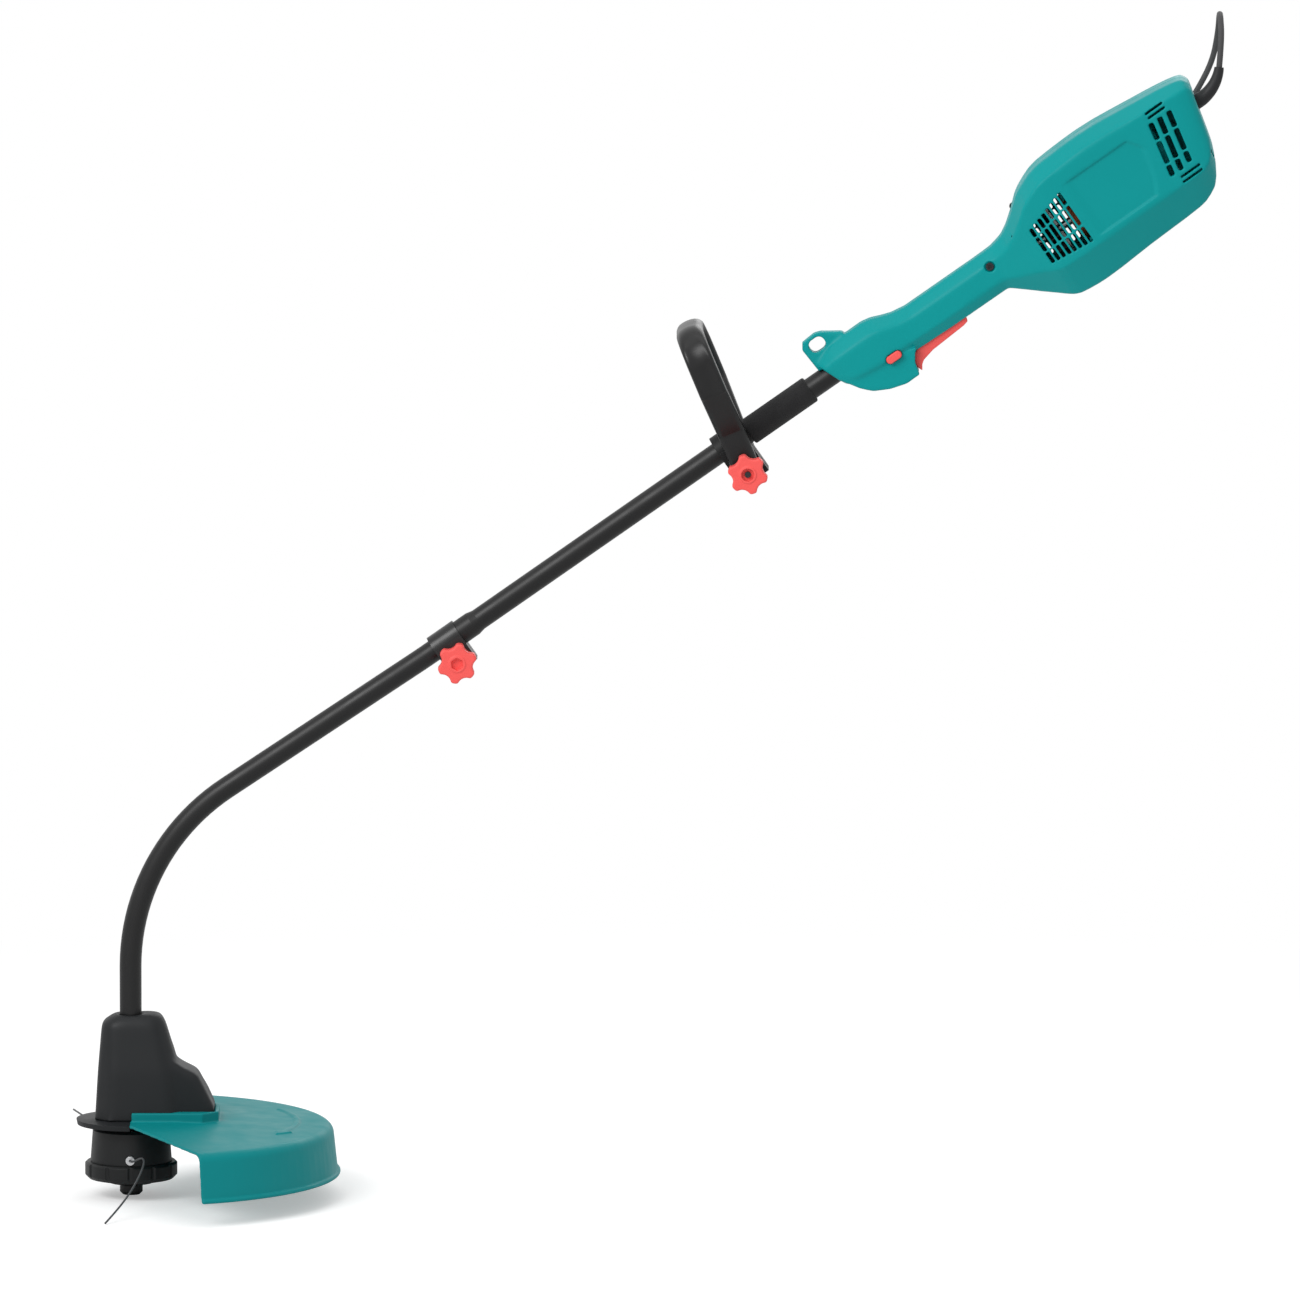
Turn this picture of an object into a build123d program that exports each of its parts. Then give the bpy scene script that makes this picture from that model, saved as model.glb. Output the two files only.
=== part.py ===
from build123d import *

import math
import os

os.makedirs("parts", exist_ok=True)

# Electric string trimmer, held in its working posture. Millimetres, +Z up along the
# spindle, +X from the cutting head towards the motor, origin in the middle of the rear grip.
# Stations run along the upper tube towards the motor; heights stand square above its axis.

# ---- clearances ----------------------------------------------------------------------
RUNNING = 0.05          # radial clearance of a shaft in its bearing or a sliding fit
FREE = 0.3              # gap between faces that move past each other
LOOSE = 0.6             # gap round a button or a rotor

# ---- layout --------------------------------------------------------------------------
SLOPE = 35.03           # upper tube above the horizontal, degrees
GRIP_STATION = 138.0    # middle of the rear grip
GRIP_DROP = 7.5         # grip centre below the tube axis
SPINDLE_X = -819.3      # spindle axis, from the grip
LOWER_SLOPE = 33.68     # lower tube above the horizontal
HEAD_BASE_Z = -824.0    # underside of the head housing
HEAD_TOP_Z = -718.0     # where the lower tube enters the head housing

# ---- tubes ---------------------------------------------------------------------------
TUBE_R = 11.0
TUBE_WALL = 1.0
TUBE_TOP_STATION = 60.0
SWAGE_START = -437.0
SWAGE_END = -478.0
SWAGE_R = TUBE_R + 1.5
SWAGE_TAPER = 7.0
ELBOW_STATION = -497.0
ELBOW_R = 800.0
BEND_R = 218.0
TUBE_SOCKET = 17.0      # depth of the lower tube in the head housing

# ---- motor ---------------------------------------------------------------------------
MOTOR_DROP = 10.0       # motor axis below the tube axis
SHAFT_R = 4.0
BEARING_R = 11.0
BEARING_W = 7.0
FRONT_BEARING = 236.0
REAR_BEARING = 397.0
STATOR_R = 38.0
STATOR_START = 296.0
STATOR_LENGTH = 40.0
ROTOR_R = 20.0
FAN_R = 32.0
FAN_START = 256.0
FAN_WIDTH = 16.0
COMMUTATOR_R = 12.0
COMMUTATOR_START = 364.0
COMMUTATOR_WIDTH = 16.0
BRUSH_SIZE = (8.0, 6.0)
FLEX_R = 3.0
LINER_R = 4.5
LINER_BORE = 3.2

# ---- housing -------------------------------------------------------------------------
SHELL_WALL = 2.5
SHELL_CORNER = 4.0
SCREW_R = 1.9
SCREW_HEAD_R = 3.9
SCREW_RECESS_R = 5.35
SCREW_STATION = 194.4

# Each row: crown (station, height), keel (station, height), half width,
# half widths of crown and keel, heights of the upper and lower bevels.
GRIP_ROWS = [
    ((-5, 18), (8, -15), 17, 8, 8, 9, 9),
    ((20, 26), (24, -27), 21, 9, 10, 14, 12),
    ((56, 26.5), (58, -28), 22, 10, 12, 14, 10),
    ((86, 17), (84, -28), 20, 9, 10, 12, 11),
    ((101, 14.7), (100, -28.6), 19, 9, 10, 12, 11),
    ((128, 14.7), (127, -29.2), 19, 9, 10, 12, 11),
    ((158, 14.7), (156, -29.4), 19, 9, 10, 12, 11),
    ((184, 14.7), (180, -29.5), 19, 9, 10, 12, 11),
    ((205, 15.1), (197, -29.5), 20, 10, 10, 12, 11),
]
MOTOR_ROWS = [
    ((205, 15.1), (197, -29.5), 20, 10, 10, 12, 11),
    ((221, 18.6), (213, -43), 26, 12, 12, 13, 18),
    ((241, 31.6), (233, -60), 35, 16, 14, 14, 28),
    ((262, 47.7), (254, -74.5), 42, 22, 18, 14, 34),
    ((291, 57.5), (284, -77), 45, 26, 20, 14, 36),
    ((341, 59.5), (340, -74), 46, 27, 21, 13, 34),
    ((404.8, 54), (402, -71.5), 45, 27, 20, 12, 31),
    ((446, 48.8), (425, -63), 42, 26, 19, 10, 24),
    ((459, 45), (440, -42), 38, 25, 18, 8, 13),
    ((463, 38), (446.5, -27), 33, 22, 16, 7, 8),
]
GRIP_PIECES = (3, 3, 3, 1, 1, 1, 1, 2)
MOTOR_PIECES = (2, 2, 3, 3, 3, 3, 3, 2, 1)
EYE_CENTRE = (7.5, 33.5)
EYE_SIZE = (17.0, 13.5)
EYE_HALF = 8.0
TRIGGER_PIVOT = (143.0, -24.0)
TRIGGER_HALF = 7.5
TRIGGER_PIN_R = 2.0
BUTTON_PLACE = (64.0, -19.4)
BUTTON_SIZE = (17.0, 8.0)
BUTTON_TRAVEL = 3.0
SWITCH_START = 104.0
SWITCH_SIZE = (26.0, 12.0, 18.0)
SWITCH_FLOOR = -21.0
VENT_START = 250.5
VENT_PITCH = 6.2
VENT_COUNT = 8
VENT_WIDTH = 3.8
VENT_DEPTH = 26.0
BOOT_STATION = 462.0
BOOT_HEIGHT = 15.4
BOOT_R = 7.5
BOOT_TIP_R = 4.75
BOOT_NECK_START = 446.0
BOOT_ARC_R = 43.9
BOOT_TURN = 50.0

REAR_PLATE = 380.0      # front face of the plate behind the brushes

# ---- front handle --------------------------------------------------------------------
HANDLE_STATION = -121.5
HANDLE_DROP = 29.5
HANDLE_LEAN = 12.4      # degrees from square to the tube, towards the motor
HANDLE_DEPTH = 28.0
HANDLE_HEIGHT = 158.0
HANDLE_HALF = 61.5
HANDLE_BAR = 15.0
EAR_INNER = 19.6
EAR_OUTER = 34.0
SADDLE_START = -136.0
SADDLE_LENGTH = 32.0
SADDLE_R = TUBE_R + 6.0
SADDLE_HALF = EAR_INNER - FREE
BOLT_R = 3.0
BOLT_HEAD_R = 7.0
KNOB_R = 20.0
KNOB_THICK = 14.0
KNOB_LOBES = 6
KNOB_BOSS = 4.0
FOAM_START = -100.0
FOAM_LENGTH = 76.0
FOAM_R = TUBE_R + 3.0

# ---- collar --------------------------------------------------------------------------
COLLAR_START = -483.4
COLLAR_LENGTH = 30.6
COLLAR_R = SWAGE_R + 2.0
COLLAR_LUG_HALF = 15.2
COLLAR_BOLT = (-471.0, -21.5)

# ---- head ----------------------------------------------------------------------------
# Each row: height, front and back reach from the spindle, half width, corner cut.
HEAD_ROWS = [
    (HEAD_BASE_Z, -36.0, 56.0, 35.0, 15.0),
    (-775.0, -33.0, 49.0, 31.0, 14.0),
    (-727.0, -28.9, 35.0, 22.0, 10.0),
    (HEAD_TOP_Z, -15.0, 30.0, 15.5, 6.0),
]
HEAD_BACK = [(40, -762), (54, -771), (67, -777), (85.5, -813), (80, HEAD_BASE_Z), (40, HEAD_BASE_Z)]
HEAD_BACK_HALF = 26.0
SPINDLE_R = 4.0
SPINDLE_TOP = -741.0
SPINDLE_END = -884.0
UPPER_SPINDLE_BEARING = -752.0
LOWER_SPINDLE_BEARING = -806.0
FLANGE_R = 55.0
FLANGE_THICK = 5.0
GUARD_R = 208.0
GUARD_TOP_Z = HEAD_BASE_Z
GUARD_SKIRT_Z = -879.5
GUARD_SHOULDER = (203.0, -832.0)
GUARD_WALL = 2.8
GUARD_LIP = 2.2
GUARD_NEAR = (1.4, 62.0)
GUARD_FAR = (79.0, 200.0)
CASE_TOP_Z = -834.0
CASE_TOP_R = 38.6
CASE_R = 41.0
CASE_BASE_Z = -868.8
CASE_WALL = 2.6
COVER_R = 46.4
COVER_BASE_Z = -886.0
COVER_HUB_R = 22.0
COVER_HUB_Z = -891.0
SPOOL_R = 34.5
SPOOL_HUB_R = 15.0
SPOOL_BORE = 9.0
SPOOL_BASE_Z = -882.5
SPOOL_HEIGHT = 36.0
SPOOL_FLANGE = 2.5
KNOB_STEM_R = 8.0
TAP_R = 11.5
TAP_BASE_Z = -903.0
TAP_HEIGHT = 10.0
TAP_TRAVEL = 5.0
STEM_TOP_Z = -866.0
EYELET_Z = -862.5
EYELET_R = 4.5
EYELET_BORE = 1.3
EYELET_REACH = 44.3
LINE_R = 1.0
BLADE_ANGLE = 60.0

# ---- mains lead ----------------------------------------------------------------------
CORD_R = 3.0
PLUG_LENGTH = 36.0
PIN_R = 2.4
PIN_LENGTH = 19.0
PIN_PITCH = 19.0

SHAFT = Plane(
    origin=(
        -GRIP_STATION * math.cos(math.radians(SLOPE)) - GRIP_DROP * math.sin(math.radians(SLOPE)),
        0,
        -GRIP_STATION * math.sin(math.radians(SLOPE)) + GRIP_DROP * math.cos(math.radians(SLOPE)),
    ),
    x_dir=(math.cos(math.radians(SLOPE)), 0, math.sin(math.radians(SLOPE))),
    z_dir=(0, -1, 0),
)


def shaft_point(station, height, across=0.0):
    """World point at a station along the upper tube, at a height above its axis."""
    return SHAFT.from_local_coords(Vector(station, height, -across))


def square_to_tube(station, height=0.0):
    """Plane across the tube: local x runs along +Y and local y away from the ground."""
    return Plane(origin=shaft_point(station, height), x_dir=(0, 1, 0), z_dir=SHAFT.x_dir)


def spindle_plane(z):
    """Horizontal plane centred on the spindle."""
    return Plane(origin=(SPINDLE_X, 0, z), x_dir=(1, 0, 0), z_dir=(0, 0, 1))


def save(piece, label):
    """Names the finished part and writes it as one STEP file."""
    piece.part.label = label
    export_step(piece.part, f"parts/{label}.step")


# ---- housing: outer skin, cavity and details -----------------------------------------
def shell_row(row, inset=0.0):
    """One closed section of the housing: rounded at the skin, sharp where it is drawn in by inset."""
    crown, keel, half, crown_half, keel_half, upper, lower = row
    low, high = shaft_point(*keel), shaft_point(*crown)
    up = (high - low).normalized()
    height = (high - low).length
    sides = [
        (crown_half - inset / 2, height - inset),
        (half - inset, height - upper),
        (half - inset, lower),
        (keel_half - inset / 2, inset),
    ]
    outline = sides + [(-x, y) for x, y in reversed(sides)]
    with BuildSketch(Plane(origin=low, x_dir=(0, 1, 0), z_dir=Vector(0, 1, 0).cross(up))) as face:
        with BuildLine():
            Polyline(*outline, close=True)
        make_face()
        if not inset:
            fillet(face.vertices(), SHELL_CORNER)
    return face.sketch


def steepness(xs, ys):
    """Slopes at each station that never overshoot the values between them."""
    steps = [(b - a) / (q - p) for p, q, a, b in zip(xs, xs[1:], ys, ys[1:])]
    inner = [0.0 if a * b <= 0 else 2 * a * b / (a + b) for a, b in zip(steps, steps[1:])]
    return [steps[0]] + inner + [steps[-1]]


def refined(rows, pieces):
    """Rows with in-between rows on a smooth curve, so many per gap as pieces says."""
    flat = [(*crown, *keel, *rest) for crown, keel, *rest in rows]
    xs = [(row[0] + row[2]) / 2 for row in flat]
    columns = list(zip(*flat))
    tilts = [steepness(xs, column) for column in columns]
    result = []
    for gap, count in enumerate(pieces):
        width = xs[gap + 1] - xs[gap]
        for share in (step / count for step in range(count)):
            line = [
                (1 + 2 * share) * (1 - share) ** 2 * column[gap]
                + share * (1 - share) ** 2 * width * tilt[gap]
                + share**2 * (3 - 2 * share) * column[gap + 1]
                - share**2 * (1 - share) * width * tilt[gap + 1]
                for column, tilt in zip(columns, tilts)
            ]
            result.append((tuple(line[:2]), tuple(line[2:4]), *line[4:]))
    return result + [rows[-1]]


def disc(plane, radius, depth, mode=Mode.ADD):
    """Cylinder grown from a plane along its normal."""
    with BuildSketch(plane) as face:
        Circle(radius)
    extrude(face.sketch, amount=depth, mode=mode)



def through(draw, half, mode=Mode.ADD):
    """Grows a drawn outline both ways from the middle plane."""
    with BuildSketch(SHAFT) as outline:
        draw()
    extrude(outline.sketch, amount=half, both=True, mode=mode)


def motor_disc(station, radius, depth, mode=Mode.ADD):
    """Cylinder on the motor axis, from a station towards the cord end."""
    disc(square_to_tube(station, -MOTOR_DROP), radius, depth, mode)


def tube_disc(station, radius, depth, mode=Mode.ADD):
    """Cylinder on the tube axis, from a station towards the cord end."""
    disc(square_to_tube(station), radius, depth, mode)


def cross_pin(station, height, radius, start, end, mode=Mode.ADD):
    """Cylinder square to the middle plane, from across = start to across = end."""
    plane = Plane(origin=shaft_point(station, height, start), x_dir=(1, 0, 0), z_dir=(0, 1, 0))
    disc(plane, radius, end - start, mode)


def draw_eye():
    """Rounded hanging eye through the lug."""
    with Locations(EYE_CENTRE):
        RectangleRounded(*EYE_SIZE, EYE_ROUND)


def draw_trigger_slot():
    """Opening for the trigger in the underside of the grip."""
    with Locations(((SLOT_START + SLOT_END) / 2, SLOT_ROOF - SLOT_DEEP / 2)):
        Rectangle(SLOT_END - SLOT_START, SLOT_DEEP)


EYE_ROUND = 6.0
SLOT_DEEP = 40.0
FLARE = [
    (6, -8), (17.9, -26.8), (27, -36.4), (42.2, -44.4), (59.4, -49.5), (74.8, -49), (76.6, -42),
    (78.2, -36.2), (82.6, -30), (88, -24),
]
FLARE_HALF = 18.0
LUG = [(-6.6, 10), (-8.2, 37), (-4, 43), (11.2, 44.2), (18.1, 41.6), (36, 29.5), (30, 10)]
STOCK = 60.0            # deeper than half the housing's width
PANEL = [(300, 29), (381, 29), (393, 12), (385, -20), (376, -35), (300, -35)]
PANEL_GROOVE = 1.6
PANEL_CORNER = 6.0
PANEL_DEPTH = 44.7      # across the housing, to the bottom of the panel groove
BULKHEADS = [
    (53.0, 4.0), (199.0, 4.0), (233.0, 10.0), (292.0, 4.0), (336.0, 4.0), (380.0, 4.0), (395.0, 11.0),
]
STATOR_SEAT_R = 34.0
BEARING_LIP_R = 6.0
BRUSH_SEAT_R = 14.0
FLEX_PASS_R = 4.0
BOSS_R = 5.3
CUP_R = 7.0
# Far-side screws: station, height and depth of the head's seat across the housing.
FAR_SCREWS = [
    (38.0, -20.0, 12.0), (246.0, 32.0, 24.0), (281.0, -62.0, 20.0), (418.0, -50.0, 22.0),
    (388.0, 44.0, 34.0),
]
NEAR_SCREW_SEAT = 15.5
SCREW_HOLD = 8.0        # length of each screw's shank past the middle plane
PIVOT_BOSS_R = 4.5
PIVOT_BOSS_FACE = 8.6
PIVOT_DEPTH = 12.5
BUTTON_GUIDE = 14.0
SLOT_START = 71.0
SLOT_END = 149.0
SLOT_ROOF = -23.0
SLOT_HALF = TRIGGER_HALF + LOOSE


def draw_slots(bars):
    """Vent bars given as (start, end, width)."""
    for start, end, width in bars:
        middle = (start + end) / 2
        turn = math.degrees(math.atan2(end.Y - start.Y, end.X - start.X))
        with Locations((middle.X, middle.Y)):
            Rectangle((end - start).length, width, rotation=turn)


def broken(start, end, width, breaks, gap=0.02):
    """One vent slot as bars, with ribs left at the given shares of its length."""
    start, end = Vector(*start), Vector(*end)
    shares = [0.0] + [value for share in breaks for value in (share - gap, share + gap)] + [1.0]
    return [
        (start * (1 - low) + end * low, start * (1 - high) + end * high, width)
        for low, high in zip(shares[::2], shares[1::2])
    ]


FRONT_TOP, FRONT_FOOT = (10.0, 24.0), (-31.0, -35.0)
REAR_COLUMNS = [(409.5, 56.0), (420.0, 56.0), (431.0, 54.0)]
REAR_LEAN = math.tan(math.radians(12))
FRONT_BARS = []
for index in range(VENT_COUNT):
    share = index / (VENT_COUNT - 1)
    high = FRONT_TOP[0] + share * (FRONT_TOP[1] - FRONT_TOP[0])
    low = FRONT_FOOT[0] + share * (FRONT_FOOT[1] - FRONT_FOOT[0])
    station = VENT_START + VENT_PITCH * index
    FRONT_BARS += broken((station, high), (station, low), VENT_WIDTH, (0.25, 0.68))
REAR_BARS = []
for station, length in REAR_COLUMNS:
    REAR_BARS += broken((station, 28.8), (station - length * REAR_LEAN, 28.8 - length), 5.4, (0.33, 0.78))
for station, reach, height in ((409, 22, 39.3), (409, 22, 34.2), (402, 25, -33), (402, 25, -38.4)):
    REAR_BARS += broken((station, height), (station + reach, height), 2.2, ())


# ---- tubes, sleeve and collar --------------------------------------------------------
def tube_end(station):
    """Point on the tube axis."""
    return shaft_point(station, 0)


ELBOW = tube_end(ELBOW_STATION)
BEND_CORNER = Vector(
    SPINDLE_X, 0, ELBOW.Z - (ELBOW.X - SPINDLE_X) * math.tan(math.radians(LOWER_SLOPE))
)
TUBE_FOOT = Vector(SPINDLE_X, 0, HEAD_TOP_Z - TUBE_SOCKET)


def lower_route(start, foot):
    """Path of the lower tube's axis from a station down to a height above the head."""
    end = Vector(SPINDLE_X, 0, foot)
    with BuildLine() as route:
        FilletPolyline(tube_end(start), ELBOW, BEND_CORNER, end, radius=[ELBOW_R, BEND_R])
    return route.line


def swept(path, radius, bore, mode=Mode.ADD):
    """Round bar or tube along a path."""
    plane = Plane(origin=path @ 0, z_dir=path % 0)
    with BuildSketch(plane) as ring:
        Circle(radius)
        if bore:
            Circle(bore, mode=Mode.SUBTRACT)
    sweep(ring.sketch, path=path, mode=mode)


with BuildPart() as upper_tube:
    with BuildSketch(square_to_tube(SWAGE_END)):
        Circle(SWAGE_R)
        Circle(TUBE_R + RUNNING, mode=Mode.SUBTRACT)
    extrude(amount=SWAGE_START - SWAGE_END)
    with BuildSketch(square_to_tube(SWAGE_START)):
        Circle(SWAGE_R)
        Circle(TUBE_R - TUBE_WALL, mode=Mode.SUBTRACT)
    with BuildSketch(square_to_tube(SWAGE_START + SWAGE_TAPER)):
        Circle(TUBE_R)
        Circle(TUBE_R - TUBE_WALL, mode=Mode.SUBTRACT)
    loft(ruled=True)
    with BuildSketch(square_to_tube(SWAGE_START + SWAGE_TAPER)):
        Circle(TUBE_R)
        Circle(TUBE_R - TUBE_WALL, mode=Mode.SUBTRACT)
    extrude(amount=TUBE_TOP_STATION - SWAGE_START - SWAGE_TAPER)
save(upper_tube, "upper_tube")

with BuildPart() as lower_tube:
    swept(lower_route(SWAGE_START, TUBE_FOOT.Z), TUBE_R, TUBE_R - TUBE_WALL)
save(lower_tube, "lower_tube")

with BuildPart() as foam_sleeve:
    with BuildSketch(square_to_tube(FOAM_START)):
        Circle(FOAM_R)
        Circle(TUBE_R, mode=Mode.SUBTRACT)
    extrude(amount=FOAM_LENGTH)
    fillet(foam_sleeve.edges().filter_by(GeomType.CIRCLE).group_by(SortBy.RADIUS)[-1], 1.5)
save(foam_sleeve, "foam_sleeve")


def drive_route(foot):
    """Path of the drive line: down the housing, both tubes and into the head."""
    drop = -MOTOR_DROP
    points = [
        shaft_point(DRIVE_START, drop), shaft_point(DRIVE_START - 30, drop),
        shaft_point(TUBE_TOP_STATION + 25, 0), ELBOW, BEND_CORNER, Vector(SPINDLE_X, 0, foot),
    ]
    with BuildLine() as route:
        FilletPolyline(*points, radius=[DRIVE_R, DRIVE_R, ELBOW_R, BEND_R])
    return route.line


DRIVE_START = 205.0
DRIVE_R = 150.0
LINER_TOP = 40.0

with BuildPart() as drive_liner:
    swept(lower_route(LINER_TOP, TUBE_FOOT.Z), LINER_R, LINER_BORE)
save(drive_liner, "drive_liner")

with BuildPart() as flex_shaft:
    swept(drive_route(SPINDLE_TOP + FREE), FLEX_R, 0)
save(flex_shaft, "flex_shaft")

with BuildPart() as liner_bushings:
    for station in (LINER_TOP - 20, -180.0, -400.0):
        with BuildSketch(square_to_tube(station)):
            Circle(TUBE_R - TUBE_WALL)
            Circle(LINER_R, mode=Mode.SUBTRACT)
        extrude(amount=12)
    with BuildSketch(spindle_plane(TUBE_FOOT.Z)):
        Circle(TUBE_R - TUBE_WALL)
        Circle(LINER_R, mode=Mode.SUBTRACT)
    extrude(amount=12)
save(liner_bushings, "liner_bushings")


def lobed_knob(station, height, start, bore, blind, turn):
    """Six-lobed knob facing -Y, with its back at across = start."""
    plane = Plane(origin=shaft_point(station, height, start), x_dir=SHAFT.x_dir, z_dir=(0, -1, 0))
    with BuildSketch(plane) as star:
        Circle(KNOB_R)
        with PolarLocations(KNOB_R - KNOB_VALLEY + KNOB_VALLEY_R, KNOB_LOBES, start_angle=turn):
            Circle(KNOB_VALLEY_R, mode=Mode.SUBTRACT)
        fillet(star.vertices(), KNOB_LOBE_R)
    extrude(star.sketch, amount=KNOB_THICK)
    rim = edges_of(Axis.Y)
    fillet(rim, KNOB_EDGE_R)
    with BuildSketch(plane) as boss:
        Circle(KNOB_BOSS_R)
    extrude(boss.sketch, amount=KNOB_THICK + 1)
    with BuildSketch(plane) as hole:
        Circle(bore)
    extrude(hole.sketch, amount=blind, mode=Mode.SUBTRACT)
    return plane


def edges_of(axis):
    """Edges of the outward face of the part being built."""
    part = BuildPart._get_context("edges_of")
    return part.faces().sort_by(axis)[0].edges()


KNOB_LOBE_R = 3.0
KNOB_VALLEY = 4.2        # depth of the hollows between the lobes
KNOB_VALLEY_R = 9.0
HANDLE_KNOB_TURN = 42.0  # first hollow, from the line along the tube
COLLAR_KNOB_TURN = 17.0
KNOB_EDGE_R = 2.0
KNOB_BOSS_R = 8.5
KNOB_HOLE_R = 6.4
HEX_R = 6.5
HEX_DEPTH = 5.0
HANDLE_KNOB_BACK = -(EAR_OUTER + KNOB_BOSS + FREE)
COLLAR_KNOB_BACK = -(COLLAR_LUG_HALF + FREE)

with BuildPart() as handle_knob:
    front = lobed_knob(HANDLE_STATION, -HANDLE_DROP, HANDLE_KNOB_BACK, BOLT_R + RUNNING, KNOB_THICK + 1,
                       HANDLE_KNOB_TURN)
    with BuildSketch(front.offset(KNOB_THICK - HEX_DEPTH + 1)):
        Circle(KNOB_HOLE_R)
    extrude(amount=HEX_DEPTH, mode=Mode.SUBTRACT)
save(handle_knob, "handle_knob")

with BuildPart() as collar_knob:
    front = lobed_knob(*COLLAR_BOLT, COLLAR_KNOB_BACK, BOLT_R + RUNNING, KNOB_THICK - HEX_DEPTH - 2,
                       COLLAR_KNOB_TURN)
    with BuildSketch(front.offset(KNOB_THICK - HEX_DEPTH + 1)):
        RegularPolygon(HEX_R, 6)
    extrude(amount=HEX_DEPTH, mode=Mode.SUBTRACT)
save(collar_knob, "collar_knob")


def clamp_ring(start, length, ring_r, bore, lug_half, lug_drop, slit):
    """Ring round the tube with a slit lug below it, grown along the tube."""
    with BuildSketch(square_to_tube(start)) as profile:
        Circle(ring_r)
        with Locations((0, -lug_drop / 2)):
            Rectangle(2 * lug_half, lug_drop)
        fillet(profile.vertices().group_by(Axis.Y)[0], LUG_CORNER)
        Circle(bore, mode=Mode.SUBTRACT)
        with Locations((0, -bore / 2 - lug_drop / 2)):
            Rectangle(slit, lug_drop, mode=Mode.SUBTRACT)
    extrude(profile.sketch, amount=length)


LUG_CORNER = 3.0
SLIT = 3.0
SADDLE_DROP = HANDLE_DROP + 12.0
COLLAR_DROP = -COLLAR_BOLT[1] + 9.0

with BuildPart() as handle_saddle:
    clamp_ring(SADDLE_START, SADDLE_LENGTH, SADDLE_R, TUBE_R + RUNNING, SADDLE_HALF, SADDLE_DROP, SLIT)
    cross_pin(HANDLE_STATION, -HANDLE_DROP, BOLT_R, -STOCK, STOCK, Mode.SUBTRACT)
save(handle_saddle, "handle_saddle")

with BuildPart() as tube_collar:
    clamp_ring(COLLAR_START, COLLAR_LENGTH, COLLAR_R, SWAGE_R, COLLAR_LUG_HALF, COLLAR_DROP, SLIT)
    cross_pin(*COLLAR_BOLT, BOLT_R, -STOCK, STOCK, Mode.SUBTRACT)
save(tube_collar, "tube_collar")

BOLT_HEAD = 4.0
with BuildPart() as handle_bolt:
    bolt_end = EAR_OUTER + KNOB_BOSS + KNOB_THICK - 1
    cross_pin(HANDLE_STATION, -HANDLE_DROP, BOLT_R, -bolt_end, EAR_OUTER + FREE)
    cross_pin(HANDLE_STATION, -HANDLE_DROP, BOLT_HEAD_R, EAR_OUTER + FREE, EAR_OUTER + FREE + BOLT_HEAD)
save(handle_bolt, "handle_bolt")

with BuildPart() as collar_bolt:
    bolt_end = COLLAR_LUG_HALF + KNOB_THICK - HEX_DEPTH - 3
    cross_pin(*COLLAR_BOLT, BOLT_R, -bolt_end, COLLAR_LUG_HALF)
    cross_pin(*COLLAR_BOLT, BOLT_HEAD_R, COLLAR_LUG_HALF, COLLAR_LUG_HALF + BOLT_HEAD)
save(collar_bolt, "collar_bolt")

WASHER_R = 11.0
with BuildPart() as knob_washer:
    with BuildSketch(Plane(origin=shaft_point(HANDLE_STATION, -HANDLE_DROP, -EAR_OUTER - FREE / 2),
                           x_dir=(1, 0, 0), z_dir=(0, -1, 0))):
        Circle(WASHER_R)
        Circle(BOLT_R, mode=Mode.SUBTRACT)
    extrude(amount=KNOB_BOSS)
save(knob_washer, "knob_washer")

# ---- loop handle ---------------------------------------------------------------------
LEAN = math.radians(HANDLE_LEAN)
HANDLE_UP = SHAFT.x_dir * math.sin(LEAN) + SHAFT.y_dir * math.cos(LEAN)
HANDLE = Plane(
    origin=shaft_point(HANDLE_STATION, -HANDLE_DROP),
    x_dir=(0, 1, 0),
    z_dir=Vector(0, 1, 0).cross(HANDLE_UP),
)
EAR_FOOT = -13.0
EAR_HEIGHT = 42.0
LEG_HEIGHT = 88.0
HANDLE_CORNER = 38.0
HANDLE_SOFT = 5.0


def handle_loop(half, ear, top, corner, grow):
    """Half outline mirrored: ear, flare, leg and rounded top of the loop."""
    with BuildSketch(HANDLE) as loop:
        with BuildLine() as outline:
            leg = (half, LEG_HEIGHT - grow)
            right = Polyline((ear, EAR_FOOT), (ear, EAR_HEIGHT), leg, (half, top), (0, top))
            mirror(right, about=Plane.YZ)
            Line((ear, EAR_FOOT), (-ear, EAR_FOOT))
        make_face()
        fillet(loop.vertices().group_by(Axis.Y)[-1], corner)
    return loop.sketch


def across_handle(edge):
    """True where an edge runs along the loop, square to the handle's depth."""
    return abs(edge.tangent_at(0.5).dot(HANDLE.z_dir)) < 0.1


with BuildPart() as loop_handle:
    outer = handle_loop(HANDLE_HALF, EAR_OUTER, HANDLE_HEIGHT, HANDLE_CORNER, 0)
    extrude(outer, amount=HANDLE_DEPTH / 2, both=True)
    inner = handle_loop(HANDLE_HALF - HANDLE_BAR, EAR_INNER, HANDLE_HEIGHT - HANDLE_BAR,
                        HANDLE_CORNER - HANDLE_BAR, -4)
    extrude(inner, amount=HANDLE_DEPTH, both=True, mode=Mode.SUBTRACT)
    fillet(loop_handle.edges().filter_by(across_handle), HANDLE_SOFT)
    cross_pin(HANDLE_STATION, -HANDLE_DROP, BOLT_R + RUNNING, -STOCK, STOCK, Mode.SUBTRACT)
save(loop_handle, "loop_handle")

# ---- head housing --------------------------------------------------------------------
def head_section(z, front, back, half, cut, grow=0.0):
    """Cut-cornered section of the head housing at a height, about the spindle."""
    with BuildSketch(spindle_plane(z)) as face:
        with Locations(((front + back) / 2, 0)):
            Rectangle(back - front + 2 * grow, 2 * (half + grow))
        chamfer(face.vertices(), cut)
        fillet(face.vertices(), HEAD_SOFT)
    return face.sketch


def spindle_disc(z, radius, depth, mode=Mode.ADD):
    """Disc on the spindle axis, from a height upwards."""
    disc(spindle_plane(z), radius, depth, mode)


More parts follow.
